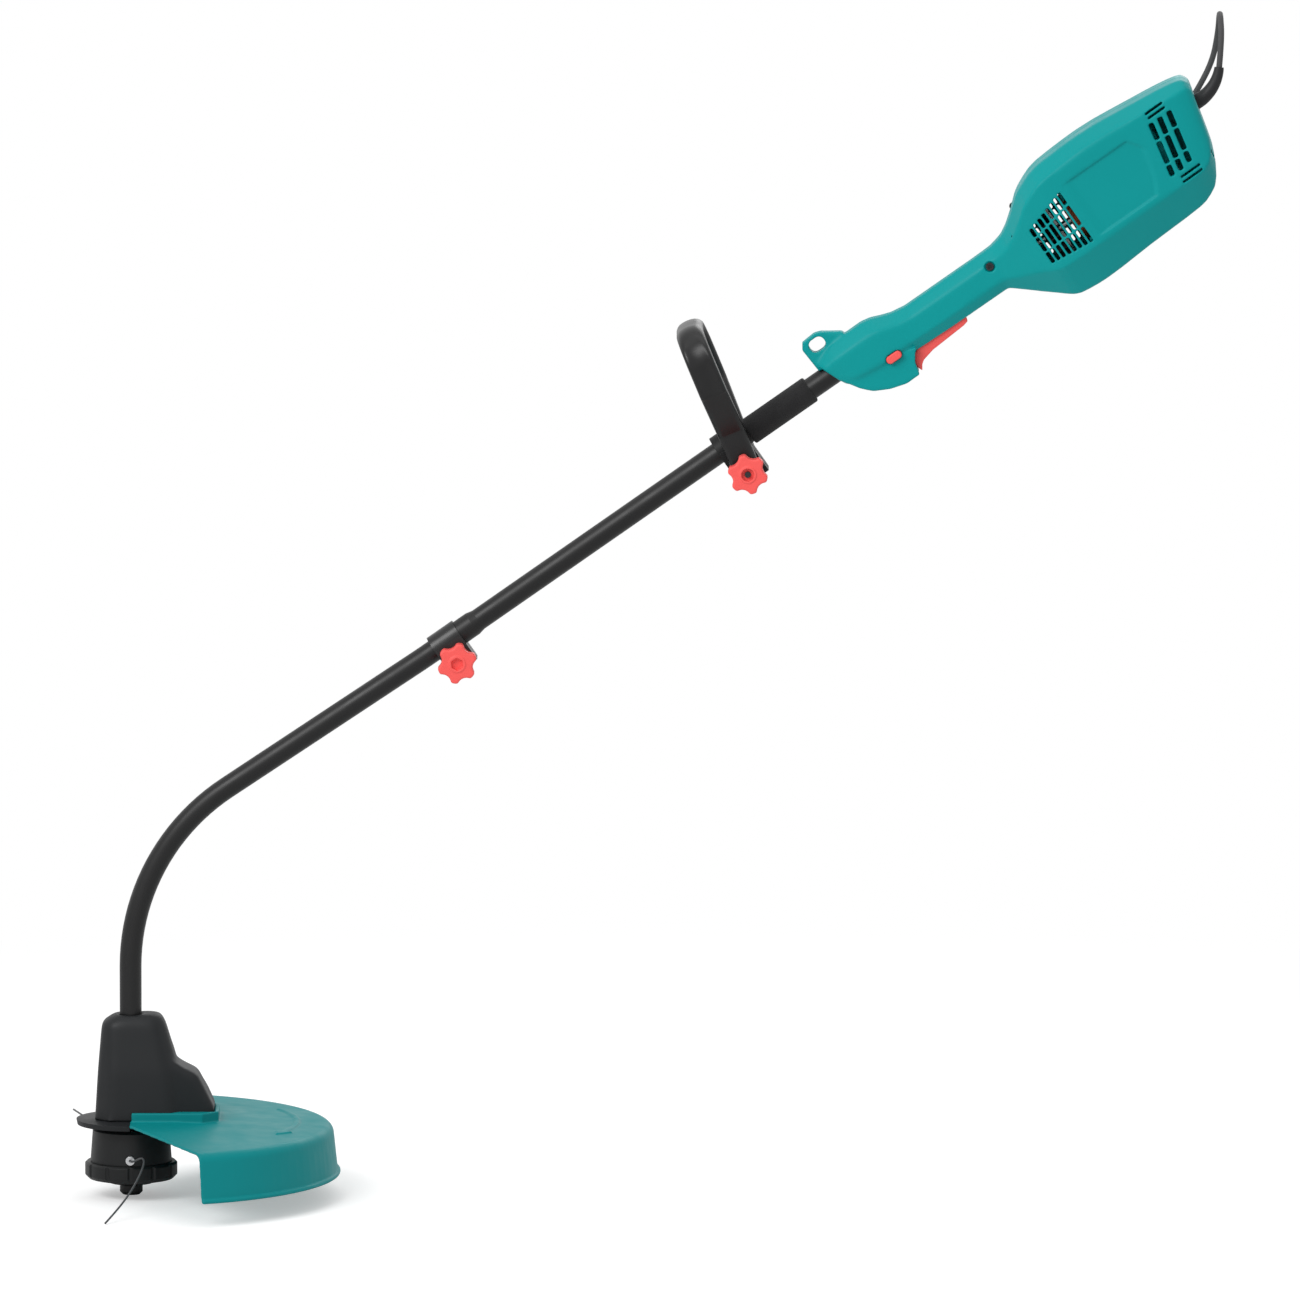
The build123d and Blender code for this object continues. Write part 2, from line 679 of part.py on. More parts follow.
HEAD_SOFT = 3.0
HEAD_CORE_R = 9.0
HEAD_SCREWS = [(-12.0, -738.0), (36.0, -758.0), (70.0, -800.0), (-22.0, -806.0)]
HEAD_SCREW_REACH = 30.0
HEAD_SCREW_LENGTH = 25.0
HEAD_SCREW_BLIND = HEAD_SCREW_LENGTH - HEAD_SCREW_REACH / 2 + 2.0
SPINDLE = Axis((SPINDLE_X, 0, 0), (0, 0, 1))
MIDDLE = Plane(origin=(SPINDLE_X, 0, 0), x_dir=(1, 0, 0), z_dir=(0, -1, 0))

with BuildPart() as head_block:
    loft([head_section(*row) for row in HEAD_ROWS], ruled=True)
    with BuildSketch(MIDDLE) as rump:
        Polygon(*HEAD_BACK, align=None)
    extrude(rump.sketch, amount=HEAD_BACK_HALF, both=True)
    spindle_disc(HEAD_BASE_Z, HEAD_CORE_R, HEAD_TOP_Z - HEAD_BASE_Z, Mode.SUBTRACT)
    spindle_disc(TUBE_FOOT.Z, TUBE_R, TUBE_SOCKET, Mode.SUBTRACT)
    for z in (UPPER_SPINDLE_BEARING, LOWER_SPINDLE_BEARING):
        spindle_disc(z, BEARING_R, BEARING_W, Mode.SUBTRACT)
    with BuildSketch(MIDDLE.offset(HEAD_SCREW_BLIND)) as bores:
        with Locations(*HEAD_SCREWS):
            Circle(SCREW_R)
    extrude(bores.sketch, amount=-STOCK - HEAD_SCREW_BLIND, mode=Mode.SUBTRACT)
    with BuildSketch(MIDDLE.offset(-HEAD_SCREW_REACH / 2)) as recesses:
        with Locations(*HEAD_SCREWS):
            Circle(SCREW_HEAD_R + FREE)
    extrude(recesses.sketch, amount=-STOCK, mode=Mode.SUBTRACT)

with BuildPart() as head_housing_left:
    add(head_block.part)
    split(bisect_by=Plane.XZ, keep=Keep.TOP)
save(head_housing_left, "head_housing_left")

with BuildPart() as head_housing_right:
    add(head_block.part)
    split(bisect_by=Plane.XZ, keep=Keep.BOTTOM)
save(head_housing_right, "head_housing_right")


def star_screw(plane, places, length, sink):
    """Round-headed screws with a star socket, heads on the plane and shanks behind it."""
    with BuildSketch(plane) as heads:
        with Locations(*places):
            Circle(SCREW_HEAD_R)
    extrude(heads.sketch, amount=SCREW_HEAD)
    with BuildSketch(plane) as shanks:
        with Locations(*places):
            Circle(SCREW_R)
    extrude(shanks.sketch, amount=-length)
    with BuildSketch(plane.offset(SCREW_HEAD)) as stars:
        with Locations(*places):
            Circle(sink * 0.62)
            with PolarLocations(sink * 0.66, 6):
                Circle(sink * 0.24)
    extrude(stars.sketch, amount=-SCREW_HEAD * 0.6, mode=Mode.SUBTRACT)


SCREW_HEAD = 2.8
STAR_R = 2.4
with BuildPart() as head_screws:
    star_screw(
        Plane(origin=(SPINDLE_X, HEAD_SCREW_REACH / 2, 0), x_dir=(-1, 0, 0), z_dir=(0, 1, 0)),
        [(-x, z) for x, z in HEAD_SCREWS], HEAD_SCREW_LENGTH, STAR_R,
    )
save(head_screws, "head_screws")

with BuildPart() as spindle_bearings:
    for z in (UPPER_SPINDLE_BEARING, LOWER_SPINDLE_BEARING):
        with BuildSketch(spindle_plane(z)) as race:
            Circle(BEARING_R)
            Circle(SPINDLE_R + RUNNING, mode=Mode.SUBTRACT)
        extrude(race.sketch, amount=BEARING_W)
save(spindle_bearings, "spindle_bearings")

# ---- flange and guard ----------------------------------------------------------------
FLANGE_SCREWS = [(-28.0, 18.0), (-28.0, -18.0)]
GUARD_SCREWS = [(34.0, 22.0), (34.0, -22.0), (56.0, 0.0)]
FLANGE_DROP = 7.0
FLANGE_BORE = 13.0

with BuildPart() as head_flange:
    with BuildSketch(Plane(origin=(SPINDLE_X, 0, 0), x_dir=(0, 1, 0), z_dir=(1, 0, 0))) as profile:
        Polygon(
            (FLANGE_BORE, HEAD_BASE_Z), (36, HEAD_BASE_Z), (FLANGE_R, HEAD_BASE_Z - 2),
            (FLANGE_R - 1, HEAD_BASE_Z - FLANGE_DROP), (FLANGE_R - 4, HEAD_BASE_Z - FLANGE_DROP),
            (FLANGE_R - 6, HEAD_BASE_Z - FLANGE_THICK),
            (FLANGE_BORE, HEAD_BASE_Z - FLANGE_THICK),
            align=None,
        )
    revolve(profile.sketch, axis=SPINDLE, revolution_arc=180)
    with BuildSketch(spindle_plane(HEAD_BASE_Z)) as bores:
        with Locations(*FLANGE_SCREWS):
            Circle(SCREW_R)
    extrude(bores.sketch, amount=-STOCK, mode=Mode.SUBTRACT)
save(head_flange, "head_flange")


def guard_outline():
    """Half-plane behind the spindle, narrowing along the guard's two front edges."""
    near_x, near_y = GUARD_NEAR
    far_x, far_y = GUARD_FAR
    side = [
        (0, near_y), (near_x, near_y), (far_x, far_y), (far_x + 5, GUARD_R + 9),
        (GUARD_R + 90, GUARD_R + 9),
    ]
    return side + [(x, -y) for x, y in reversed(side)]


ARROW_R = 167.0
ARROW_WIDTH = 5.0
ARROW_START = -22.0
ARROW_END = 28.0
ARROW_FLOOR = -832.0
ARROW_TOP = -828.4
ARROW_HEAD = (-34.0, 9.0)
COLLAR_RISE = 9.0
COLLAR_HALF = 40.0
COLLAR_REACH = 88.5
COLLAR_NOSE = 16.0
HEAD_GAP = 0.3

with BuildPart() as guard:
    with BuildSketch(MIDDLE) as profile:
        with BuildLine():
            top = FilletPolyline(
                (FLANGE_BORE, GUARD_TOP_Z), (62, GUARD_TOP_Z), GUARD_SHOULDER, (GUARD_R, GUARD_SKIRT_Z),
                radius=[60, 10],
            )
            offset(top, amount=GUARD_WALL, side=Side.RIGHT)
        make_face()
        with Locations((GUARD_R + 0.4, GUARD_SKIRT_Z)):
            Circle(GUARD_LIP)
    revolve(profile.sketch, axis=SPINDLE, revolution_arc=360)
    with BuildSketch(spindle_plane(GUARD_SKIRT_Z - 10)) as plan:
        Polygon(*guard_outline(), align=None)
    extrude(plan.sketch, amount=100, mode=Mode.INTERSECT)
    with BuildSketch(spindle_plane(HEAD_BASE_Z - 2)) as rim:
        with Locations((COLLAR_REACH / 2 + GUARD_NEAR[0] / 2, 0)):
            Rectangle(COLLAR_REACH - GUARD_NEAR[0], 2 * COLLAR_HALF)
        chamfer(rim.vertices().group_by(Axis.X)[-1], COLLAR_NOSE)
        fillet(rim.vertices().group_by(Axis.X)[-1], HEAD_SOFT)
    extrude(rim.sketch, amount=COLLAR_RISE + 2)
    loft([head_section(*row, HEAD_GAP) for row in HEAD_ROWS[:2]], ruled=True, mode=Mode.SUBTRACT)
    with BuildSketch(MIDDLE) as rump:
        Polygon(*HEAD_BACK, align=None)
        offset(amount=HEAD_GAP)
        with Locations((0, HEAD_BASE_Z - 5)):
            Rectangle(300, 10, mode=Mode.SUBTRACT)
    extrude(rump.sketch, amount=HEAD_BACK_HALF + HEAD_GAP, both=True, mode=Mode.SUBTRACT)
    spindle_disc(HEAD_BASE_Z - 2, FLANGE_BORE, 4, Mode.SUBTRACT)
    with BuildSketch(spindle_plane(ARROW_FLOOR)) as arrow:
        Circle(ARROW_R + ARROW_WIDTH / 2)
        Circle(ARROW_R - ARROW_WIDTH / 2, mode=Mode.SUBTRACT)
        low, high = math.radians(ARROW_START), math.radians(ARROW_END)
        wedge = [(2 * ARROW_R * math.cos(turn), 2 * ARROW_R * math.sin(turn)) for turn in (low, high)]
        Polygon((0, 0), *wedge, align=None, mode=Mode.INTERSECT)
        tip = math.radians(ARROW_HEAD[0] + 6)
        barbs = [(ARROW_R - ARROW_HEAD[1], low), (ARROW_R + ARROW_HEAD[1], low), (ARROW_R, tip)]
        Polygon(*[(r * math.cos(turn), r * math.sin(turn)) for r, turn in barbs], align=None)
    extrude(arrow.sketch, amount=ARROW_TOP - ARROW_FLOOR)
    with BuildSketch(spindle_plane(HEAD_BASE_Z)) as bores:
        with Locations(*GUARD_SCREWS):
            Circle(SCREW_R)
    extrude(bores.sketch, amount=-STOCK, mode=Mode.SUBTRACT)
save(guard, "guard")

with BuildPart() as guard_screws:
    under = Plane(origin=(SPINDLE_X, 0, HEAD_BASE_Z - GUARD_WALL), x_dir=(1, 0, 0), z_dir=(0, 0, -1))
    star_screw(under, [(x, -y) for x, y in GUARD_SCREWS], GUARD_WALL, STAR_R)
save(guard_screws, "guard_screws")

with BuildPart() as flange_screws:
    under = Plane(origin=(SPINDLE_X, 0, HEAD_BASE_Z - FLANGE_THICK), x_dir=(1, 0, 0), z_dir=(0, 0, -1))
    star_screw(under, [(x, -y) for x, y in FLANGE_SCREWS], FLANGE_THICK, STAR_R)
save(flange_screws, "flange_screws")


# ---- line cutter on the inside of the skirt ------------------------------------------
BLADE_THICK = 1.2
BLADE_TANG = 22.0
BLADE_REACH = 20.0
BLADE_BASE_Z = -876.0
BLADE_HEIGHT = 18.0
BLADE_TURN = math.radians(BLADE_ANGLE)
BLADE_OUT = Vector(math.cos(BLADE_TURN), math.sin(BLADE_TURN), 0)


def skirt_radius(z):
    """Inner radius of the guard's skirt at a height."""
    run = (z - GUARD_SHOULDER[1]) / (GUARD_SKIRT_Z - GUARD_SHOULDER[1])
    slant = math.hypot(GUARD_R - GUARD_SHOULDER[0], GUARD_SKIRT_Z - GUARD_SHOULDER[1])
    wall = GUARD_WALL * slant / abs(GUARD_SKIRT_Z - GUARD_SHOULDER[1])
    return GUARD_SHOULDER[0] + run * (GUARD_R - GUARD_SHOULDER[0]) - wall


with BuildPart() as line_cutter:
    seat = skirt_radius(BLADE_BASE_Z + BLADE_HEIGHT)
    seat_point = Vector(SPINDLE_X, 0, BLADE_BASE_Z) + BLADE_OUT * seat
    wall = Plane(origin=seat_point, x_dir=BLADE_OUT, z_dir=(0, 0, 1))
    with BuildSketch(wall) as outline:
        with Locations((-BLADE_THICK / 2 - FREE, 0)):
            Rectangle(BLADE_THICK, BLADE_TANG)
        with Locations((-FREE, BLADE_TANG / 2)):
            Rectangle(BLADE_REACH, BLADE_THICK, align=(Align.MAX, Align.MAX))
    extrude(outline.sketch, amount=BLADE_HEIGHT)
save(line_cutter, "line_cutter")

# ---- cutting head --------------------------------------------------------------------
def turned(points, bore):
    """Solid of revolution about the spindle from (radius, height) points."""
    with BuildSketch(MIDDLE) as profile:
        Polygon(*points, align=None)
    revolve(profile.sketch, axis=SPINDLE, revolution_arc=360)
    if bore:
        with BuildSketch(spindle_plane(TAP_BASE_Z)) as hole:
            Circle(bore)
        extrude(hole.sketch, amount=200, mode=Mode.SUBTRACT)


def eyelet_bores(radius):
    """Holes through the case wall for both line eyelets."""
    plane = Plane(origin=(SPINDLE_X, 0, EYELET_Z), x_dir=(1, 0, 0), z_dir=(0, 1, 0))
    with BuildSketch(plane) as hole:
        Circle(radius)
    extrude(hole.sketch, amount=STOCK, both=True, mode=Mode.SUBTRACT)


FLUTES = 12
FLUTE_R = 3.0
SPINDLE_FLANGE_R = 9.0
with BuildPart() as head_spindle:
    spindle_disc(SPINDLE_END, SPINDLE_R, SPINDLE_TOP - SPINDLE_END)
    spindle_disc(CASE_TOP_Z, SPINDLE_FLANGE_R, 2.5)
save(head_spindle, "head_spindle")

with BuildPart() as spool_case:
    turned(
        [
            (0, CASE_TOP_Z), (CASE_TOP_R - 3, CASE_TOP_Z), (CASE_TOP_R, CASE_TOP_Z - 3),
            (CASE_R, CASE_BASE_Z), (CASE_R - CASE_WALL, CASE_BASE_Z),
            (CASE_TOP_R - CASE_WALL, CASE_TOP_Z - CASE_WALL - 1), (0, CASE_TOP_Z - CASE_WALL - 1),
        ],
        SPINDLE_R,
    )
    eyelet_bores(EYELET_R)
save(spool_case, "spool_case")

with BuildPart() as spool_cover:
    turned(
        [
            (0, COVER_HUB_Z), (COVER_HUB_R, COVER_HUB_Z), (COVER_HUB_R + 2, COVER_HUB_Z + 1),
            (COVER_R - 4, COVER_BASE_Z), (COVER_R, COVER_BASE_Z + 4), (COVER_R, CASE_BASE_Z - 2),
            (COVER_R - 2, CASE_BASE_Z), (CASE_R - CASE_WALL, CASE_BASE_Z),
            (CASE_R - CASE_WALL, SPOOL_BASE_Z - FREE), (0, SPOOL_BASE_Z - FREE),
        ],
        KNOB_STEM_R + FREE,
    )
    spindle_disc(COVER_HUB_Z, TAP_R + FREE, TAP_TRAVEL - 2 + LOOSE, Mode.SUBTRACT)
    with BuildSketch(spindle_plane(COVER_BASE_Z - 6)) as flutes:
        with PolarLocations(COVER_R + 1.6, FLUTES):
            Circle(FLUTE_R)
    extrude(flutes.sketch, amount=30, mode=Mode.SUBTRACT)
save(spool_cover, "spool_cover")

with BuildPart() as eyelets:
    for side in (1, -1):
        plane = Plane(origin=(SPINDLE_X, side * (CASE_R - CASE_WALL - 1.5), EYELET_Z),
                      x_dir=(1, 0, 0), z_dir=(0, side, 0))
        with BuildSketch(plane) as ring:
            Circle(EYELET_R)
            Circle(EYELET_BORE, mode=Mode.SUBTRACT)
        extrude(ring.sketch, amount=EYELET_REACH - (CASE_R - CASE_WALL - 1.5))
    with BuildSketch(spindle_plane(EYELET_Z - EYELET_R)) as core:
        Circle(SPOOL_R + 2)
    extrude(core.sketch, amount=2 * EYELET_R, mode=Mode.SUBTRACT)
save(eyelets, "eyelets")

with BuildPart() as line_spool:
    high = SPOOL_BASE_Z + SPOOL_HEIGHT
    turned(
        [
            (0, SPOOL_BASE_Z), (SPOOL_R, SPOOL_BASE_Z), (SPOOL_R, SPOOL_BASE_Z + SPOOL_FLANGE),
            (SPOOL_HUB_R, SPOOL_BASE_Z + SPOOL_FLANGE), (SPOOL_HUB_R, high - SPOOL_FLANGE),
            (SPOOL_R, high - SPOOL_FLANGE), (SPOOL_R, high), (0, high),
        ],
        SPOOL_BORE,
    )
save(line_spool, "line_spool")

WOUND_R = 31.0
with BuildPart() as wound_line:
    with BuildSketch(spindle_plane(SPOOL_BASE_Z + SPOOL_FLANGE)) as coil:
        Circle(WOUND_R)
        Circle(SPOOL_HUB_R, mode=Mode.SUBTRACT)
    extrude(coil.sketch, amount=SPOOL_HEIGHT - 2 * SPOOL_FLANGE)
save(wound_line, "wound_line")

with BuildPart() as tap_knob:
    turned(
        [
            (0, TAP_BASE_Z), (TAP_R - 3, TAP_BASE_Z), (TAP_R, TAP_BASE_Z + 3),
            (TAP_R, TAP_BASE_Z + TAP_HEIGHT), (KNOB_STEM_R, TAP_BASE_Z + TAP_HEIGHT),
            (KNOB_STEM_R, STEM_TOP_Z), (0, STEM_TOP_Z),
        ],
        0,
    )
    spindle_disc(SPINDLE_END - TAP_TRAVEL - LOOSE, SPINDLE_R + RUNNING, 50, Mode.SUBTRACT)
save(tap_knob, "tap_knob")

SPRING_R = 6.0
SPRING_WIRE = 0.7
SPRING_TURNS = 5
with BuildPart() as knob_spring:
    low = STEM_TOP_Z + SPRING_WIRE + FREE
    high = CASE_TOP_Z - CASE_WALL - 1 - SPRING_WIRE - FREE
    with BuildLine():
        coil = Helix((high - low) / SPRING_TURNS, high - low, SPRING_R, center=(SPINDLE_X, 0, low))
    with BuildSketch(Plane(origin=coil @ 0, z_dir=coil % 0)):
        Circle(SPRING_WIRE)
    sweep()
save(knob_spring, "knob_spring")


def spindle_route(points):
    """Path through (forward, across, height) points about the spindle, arcs as wide as the runs allow."""
    spots = [Vector(SPINDLE_X + x, y, z) for x, y, z in points]
    return lead_route(spots)


def lead_route(spots):
    """Path of straight runs joined by tangent arcs, each as wide as its two runs allow."""
    radii = []
    for before, corner, after in zip(spots, spots[1:], spots[2:]):
        turn = (corner - before).get_angle(after - corner)
        run = min((corner - before).length, (after - corner).length)
        radii.append(0.45 * run / math.tan(math.radians(turn / 2)))
    print("radii", [round(radius, 1) for radius in radii])
    with BuildLine() as route:
        FilletPolyline(*spots, radius=radii)
    return route.line


def report_tube(name, piece, path, radius):
    """Prints a lead's length and its volume over section times length."""
    length = sum(edge.length for edge in path.edges())
    print(name, round(length, 1), round(piece.part.volume / (math.pi * radius**2 * length), 4))


NEAR_TAIL = [
    (0, -EYELET_REACH, EYELET_Z), (2, -58, -862), (13, -76, -853), (16, -96, -856), (8, -120, -872),
    (-6, -148, -890), (-22, -174, -904),
]
FAR_TAIL = [
    (0, EYELET_REACH, EYELET_Z), (-4, 60, -862), (-22, 82, -854), (-42, 104, -846), (-56, 132, -842),
    (-62, 160, -843),
]
with BuildPart() as line_near:
    path = spindle_route(NEAR_TAIL)
    swept(path, LINE_R, 0)
    report_tube("near tail", line_near, path, LINE_R)
save(line_near, "line_near")

with BuildPart() as line_far:
    path = spindle_route(FAR_TAIL)
    swept(path, LINE_R, 0)
    report_tube("far tail", line_far, path, LINE_R)
save(line_far, "line_far")

# ---- motor ---------------------------------------------------------------------------


def motor_ring(station, outer, inner, depth):
    """Ring on the motor axis, from a station towards the cord end."""
    with BuildSketch(square_to_tube(station, -MOTOR_DROP)) as ring:
        Circle(outer)
        Circle(inner, mode=Mode.SUBTRACT)
    extrude(ring.sketch, amount=depth)


with BuildPart() as motor_bearings:
    for station in (FRONT_BEARING, REAR_BEARING):
        motor_ring(station, BEARING_R, SHAFT_R + RUNNING, BEARING_W)
save(motor_bearings, "motor_bearings")

YOKE_R = 30.0
POLE_HALF = 13.0
with BuildPart() as field_core:
    with BuildSketch(square_to_tube(STATOR_START, -MOTOR_DROP)) as lamination:
        Circle(STATOR_R)
        Circle(YOKE_R, mode=Mode.SUBTRACT)
        with BuildSketch(mode=Mode.PRIVATE) as pole:
            Rectangle(2 * POLE_HALF, 2 * YOKE_R + 4)
        add(pole.sketch)
        Circle(ROTOR_R + LOOSE, mode=Mode.SUBTRACT)
    extrude(lamination.sketch, amount=STATOR_LENGTH)
save(field_core, "field_core")

COIL_OVERHANG = 8.0
with BuildPart() as field_windings:
    motor_ring(STATOR_START - COIL_OVERHANG, YOKE_R - FREE, ROTOR_R + 2, STATOR_LENGTH + 2 * COIL_OVERHANG)
    with BuildSketch(square_to_tube(STATOR_START - COIL_OVERHANG, -MOTOR_DROP)) as gap:
        Rectangle(2 * POLE_HALF + 2 * FREE, 3 * YOKE_R)
    extrude(gap.sketch, amount=STATOR_LENGTH + 2 * COIL_OVERHANG, mode=Mode.SUBTRACT)
save(field_windings, "field_windings")

COUPLER_START = DRIVE_START + FREE
COUPLER_R = 7.0
COUPLER_LENGTH = 24.0
ROTOR_SHAFT_START = COUPLER_START + 9.0
with BuildPart() as armature_shaft:
    motor_disc(ROTOR_SHAFT_START, SHAFT_R, REAR_BEARING + BEARING_W - FREE - ROTOR_SHAFT_START)
save(armature_shaft, "armature_shaft")

with BuildPart() as drive_coupler:
    motor_disc(COUPLER_START, COUPLER_R, COUPLER_LENGTH)
    motor_disc(ROTOR_SHAFT_START, SHAFT_R, STOCK, Mode.SUBTRACT)
save(drive_coupler, "drive_coupler")

SLOTS = 12
with BuildPart() as armature_core:
    with BuildSketch(square_to_tube(STATOR_START, -MOTOR_DROP)) as lamination:
        Circle(ROTOR_R)
        with PolarLocations(ROTOR_R - 3.5, SLOTS):
            SlotOverall(9, 3)
        with PolarLocations(ROTOR_R - 3, SLOTS):
            SlotOverall(9, 2.4, mode=Mode.SUBTRACT)
        Circle(SHAFT_R, mode=Mode.SUBTRACT)
    extrude(lamination.sketch, amount=STATOR_LENGTH)
save(armature_core, "armature_core")

WINDING_R = 17.0
with BuildPart() as armature_windings:
    motor_ring(STATOR_START - COIL_OVERHANG, WINDING_R, SHAFT_R, COIL_OVERHANG)
    motor_ring(STATOR_START + STATOR_LENGTH, WINDING_R, SHAFT_R, COIL_OVERHANG)
save(armature_windings, "armature_windings")

with BuildPart() as commutator:
    motor_ring(COMMUTATOR_START, COMMUTATOR_R, SHAFT_R, COMMUTATOR_WIDTH)
save(commutator, "commutator")

BLADES = 12
BLADE_PITCH = 25.0
with BuildPart() as cooling_fan:
    motor_ring(FAN_START, 9.0, SHAFT_R, FAN_WIDTH)
    motor_ring(FAN_START + FAN_WIDTH - 2, FAN_R, SHAFT_R, 2)
    with BuildSketch(square_to_tube(FAN_START, -MOTOR_DROP)) as vanes:
        with PolarLocations(FAN_R / 2 + 3, BLADES):
            Rectangle(FAN_R - 8, 1.6, rotation=BLADE_PITCH / 2)
        Circle(FAN_R, mode=Mode.INTERSECT)
    extrude(vanes.sketch, amount=FAN_WIDTH)
save(cooling_fan, "cooling_fan")

BRUSH_STATION = COMMUTATOR_START + COMMUTATOR_WIDTH / 2
HOLDER_WALL = 2.0
HOLDER_TOP = 36.0
with BuildPart() as brush_holders:
    for side in (1, -1):
        seat = Plane(
            origin=shaft_point(BRUSH_STATION, -MOTOR_DROP, side * (COMMUTATOR_R + 2)),
            x_dir=SHAFT.x_dir, z_dir=(0, side, 0),
        )
        with BuildSketch(seat) as tube:
            Rectangle(2 * (REAR_PLATE - BRUSH_STATION), BRUSH_SIZE[1] + 2 * HOLDER_WALL)
            Rectangle(*BRUSH_SIZE, mode=Mode.SUBTRACT)
        extrude(tube.sketch, amount=HOLDER_TOP - COMMUTATOR_R - 2)
save(brush_holders, "brush_holders")

with BuildPart() as carbon_brushes:
    for side in (1, -1):
        seat = Plane(
            origin=shaft_point(BRUSH_STATION, -MOTOR_DROP, side * (COMMUTATOR_R + RUNNING)),
            x_dir=SHAFT.x_dir, z_dir=(0, side, 0),
        )
        with BuildSketch(seat) as carbon:
            Rectangle(*BRUSH_SIZE)
        extrude(carbon.sketch, amount=18)
save(carbon_brushes, "carbon_brushes")

CAPACITOR_R = 6.0
CAPACITOR_DROP = 61.0
with BuildPart() as capacitor:
    disc(square_to_tube(STATOR_START, -CAPACITOR_DROP), CAPACITOR_R, STATOR_LENGTH)
save(capacitor, "capacitor")

# ---- switch, trigger and lock button -------------------------------------------------
PLUNGER_STATION = 115.0
PLUNGER_R = 2.5
PLUNGER_TOP = -15.0
PLUNGER_ROOM = 4.5
TRIGGER_TOP = -26.3
TRIGGER_FACE = [
    (146, -27), (144.1, -33.7), (138.4, -35), (99.3, -37.4), (86, -40.5), (82.3, -43.2), (78.6, -48.4),
    (76.2, -42.1), (77.6, -36.2), (82, -30), (88, TRIGGER_TOP), (139, TRIGGER_TOP),
]
TRIGGER_ROUND = 1.5
with BuildPart() as trigger:
    through(lambda: Polygon(*TRIGGER_FACE, align=None), TRIGGER_HALF)
    outer_edges = trigger.faces().filter_by(Plane.XZ).edges()
    fillet(outer_edges, TRIGGER_ROUND)
    cross_pin(*TRIGGER_PIVOT, 4.0, -TRIGGER_HALF, TRIGGER_HALF)
    cross_pin(*TRIGGER_PIVOT, TRIGGER_PIN_R, -PIVOT_DEPTH + FREE, PIVOT_DEPTH - FREE)
save(trigger, "trigger")

with BuildPart() as switch_body:
    with BuildSketch(SHAFT) as block:
        with Locations((SWITCH_START + SWITCH_SIZE[0] / 2, SWITCH_FLOOR + SWITCH_SIZE[1] / 2)):
            Rectangle(SWITCH_SIZE[0], SWITCH_SIZE[1])
    extrude(block.sketch, amount=SWITCH_SIZE[2] / 2, both=True)
    well = Plane(origin=shaft_point(PLUNGER_STATION, SWITCH_FLOOR), x_dir=SHAFT.x_dir, z_dir=SHAFT.y_dir)
    disc(well, PLUNGER_R + RUNNING, PLUNGER_TOP + PLUNGER_ROOM - SWITCH_FLOOR, Mode.SUBTRACT)
save(switch_body, "switch_body")

with BuildPart() as switch_plunger:
    plunger_foot = shaft_point(PLUNGER_STATION, TRIGGER_TOP + FREE)
    foot = Plane(origin=plunger_foot, x_dir=SHAFT.x_dir, z_dir=SHAFT.y_dir)
    disc(foot, PLUNGER_R, PLUNGER_TOP - TRIGGER_TOP - FREE)
save(switch_plunger, "switch_plunger")

BUTTON_FACE = 24.0
BUTTON_LIP = 3.0
BUTTON_STEP = 2.0
with BuildPart() as lock_button:
    with BuildSketch(SHAFT.offset(BUTTON_GUIDE - FREE - BUTTON_STEP)) as lip:
        with Locations(BUTTON_PLACE):
            SlotOverall(BUTTON_SIZE[0] + BUTTON_LIP, BUTTON_SIZE[1])
    extrude(lip.sketch, amount=BUTTON_STEP)
    with BuildSketch(SHAFT.offset(BUTTON_GUIDE - FREE)) as cap:
        with Locations(BUTTON_PLACE):
            SlotOverall(*BUTTON_SIZE)
    extrude(cap.sketch, amount=BUTTON_FACE - BUTTON_GUIDE + FREE)
    fillet(lock_button.faces().sort_by(Axis.Y)[0].edges(), 1.0)
save(lock_button, "lock_button")

# ---- boot, lead and plug -------------------------------------------------------------
BOOT_FLANGE_R = 10.0
BOOT_FLANGE = 3.0
BOOT_BASE = shaft_point(BOOT_STATION, BOOT_HEIGHT)
BOOT_STEPS = 4


def boot_plane(turn):
    """Plane across the boot after it has turned upwards by some degrees."""
    start, end = math.radians(SLOPE), math.radians(SLOPE + turn)
    rise = Vector(math.sin(end) - math.sin(start), 0, math.cos(start) - math.cos(end)) * BOOT_ARC_R
    return Plane(origin=BOOT_BASE + rise, x_dir=(0, 1, 0), z_dir=(math.cos(end), 0, math.sin(end)))


with BuildPart() as cable_boot:
    disc(square_to_tube(BOOT_NECK_START, BOOT_HEIGHT), BOOT_R, BOOT_STATION - BOOT_NECK_START)
    disc(square_to_tube(BOOT_NECK_START, BOOT_HEIGHT), BOOT_FLANGE_R, BOOT_FLANGE)
    rings = []
    for step in range(BOOT_STEPS + 1):
        share = step / BOOT_STEPS
        with BuildSketch(boot_plane(share * BOOT_TURN)) as ring:
            Circle(BOOT_R + share * (BOOT_TIP_R - BOOT_R))
        rings.append(ring.sketch)
    loft(rings)
save(cable_boot, "cable_boot")

TIP = boot_plane(BOOT_TURN)
# The lead rises from the boot, turns away over the housing and hangs down behind it to its plug.
LEAD_POINTS = [
    (273.2, 0, 265.3), (272.4, 20.9, 286.1), (272.2, 50.3, 286.4), (271.6, 71, 265.6), (266.5, 75.5, 236),
    (252, 75, 207), (232.5, 70.7, 177.5), (232.5, 70.7, 147.9),
]
lead_points = [TIP.origin] + [Vector(*point) for point in LEAD_POINTS]
print("boot tip", tuple(round(value, 2) for value in TIP.origin))

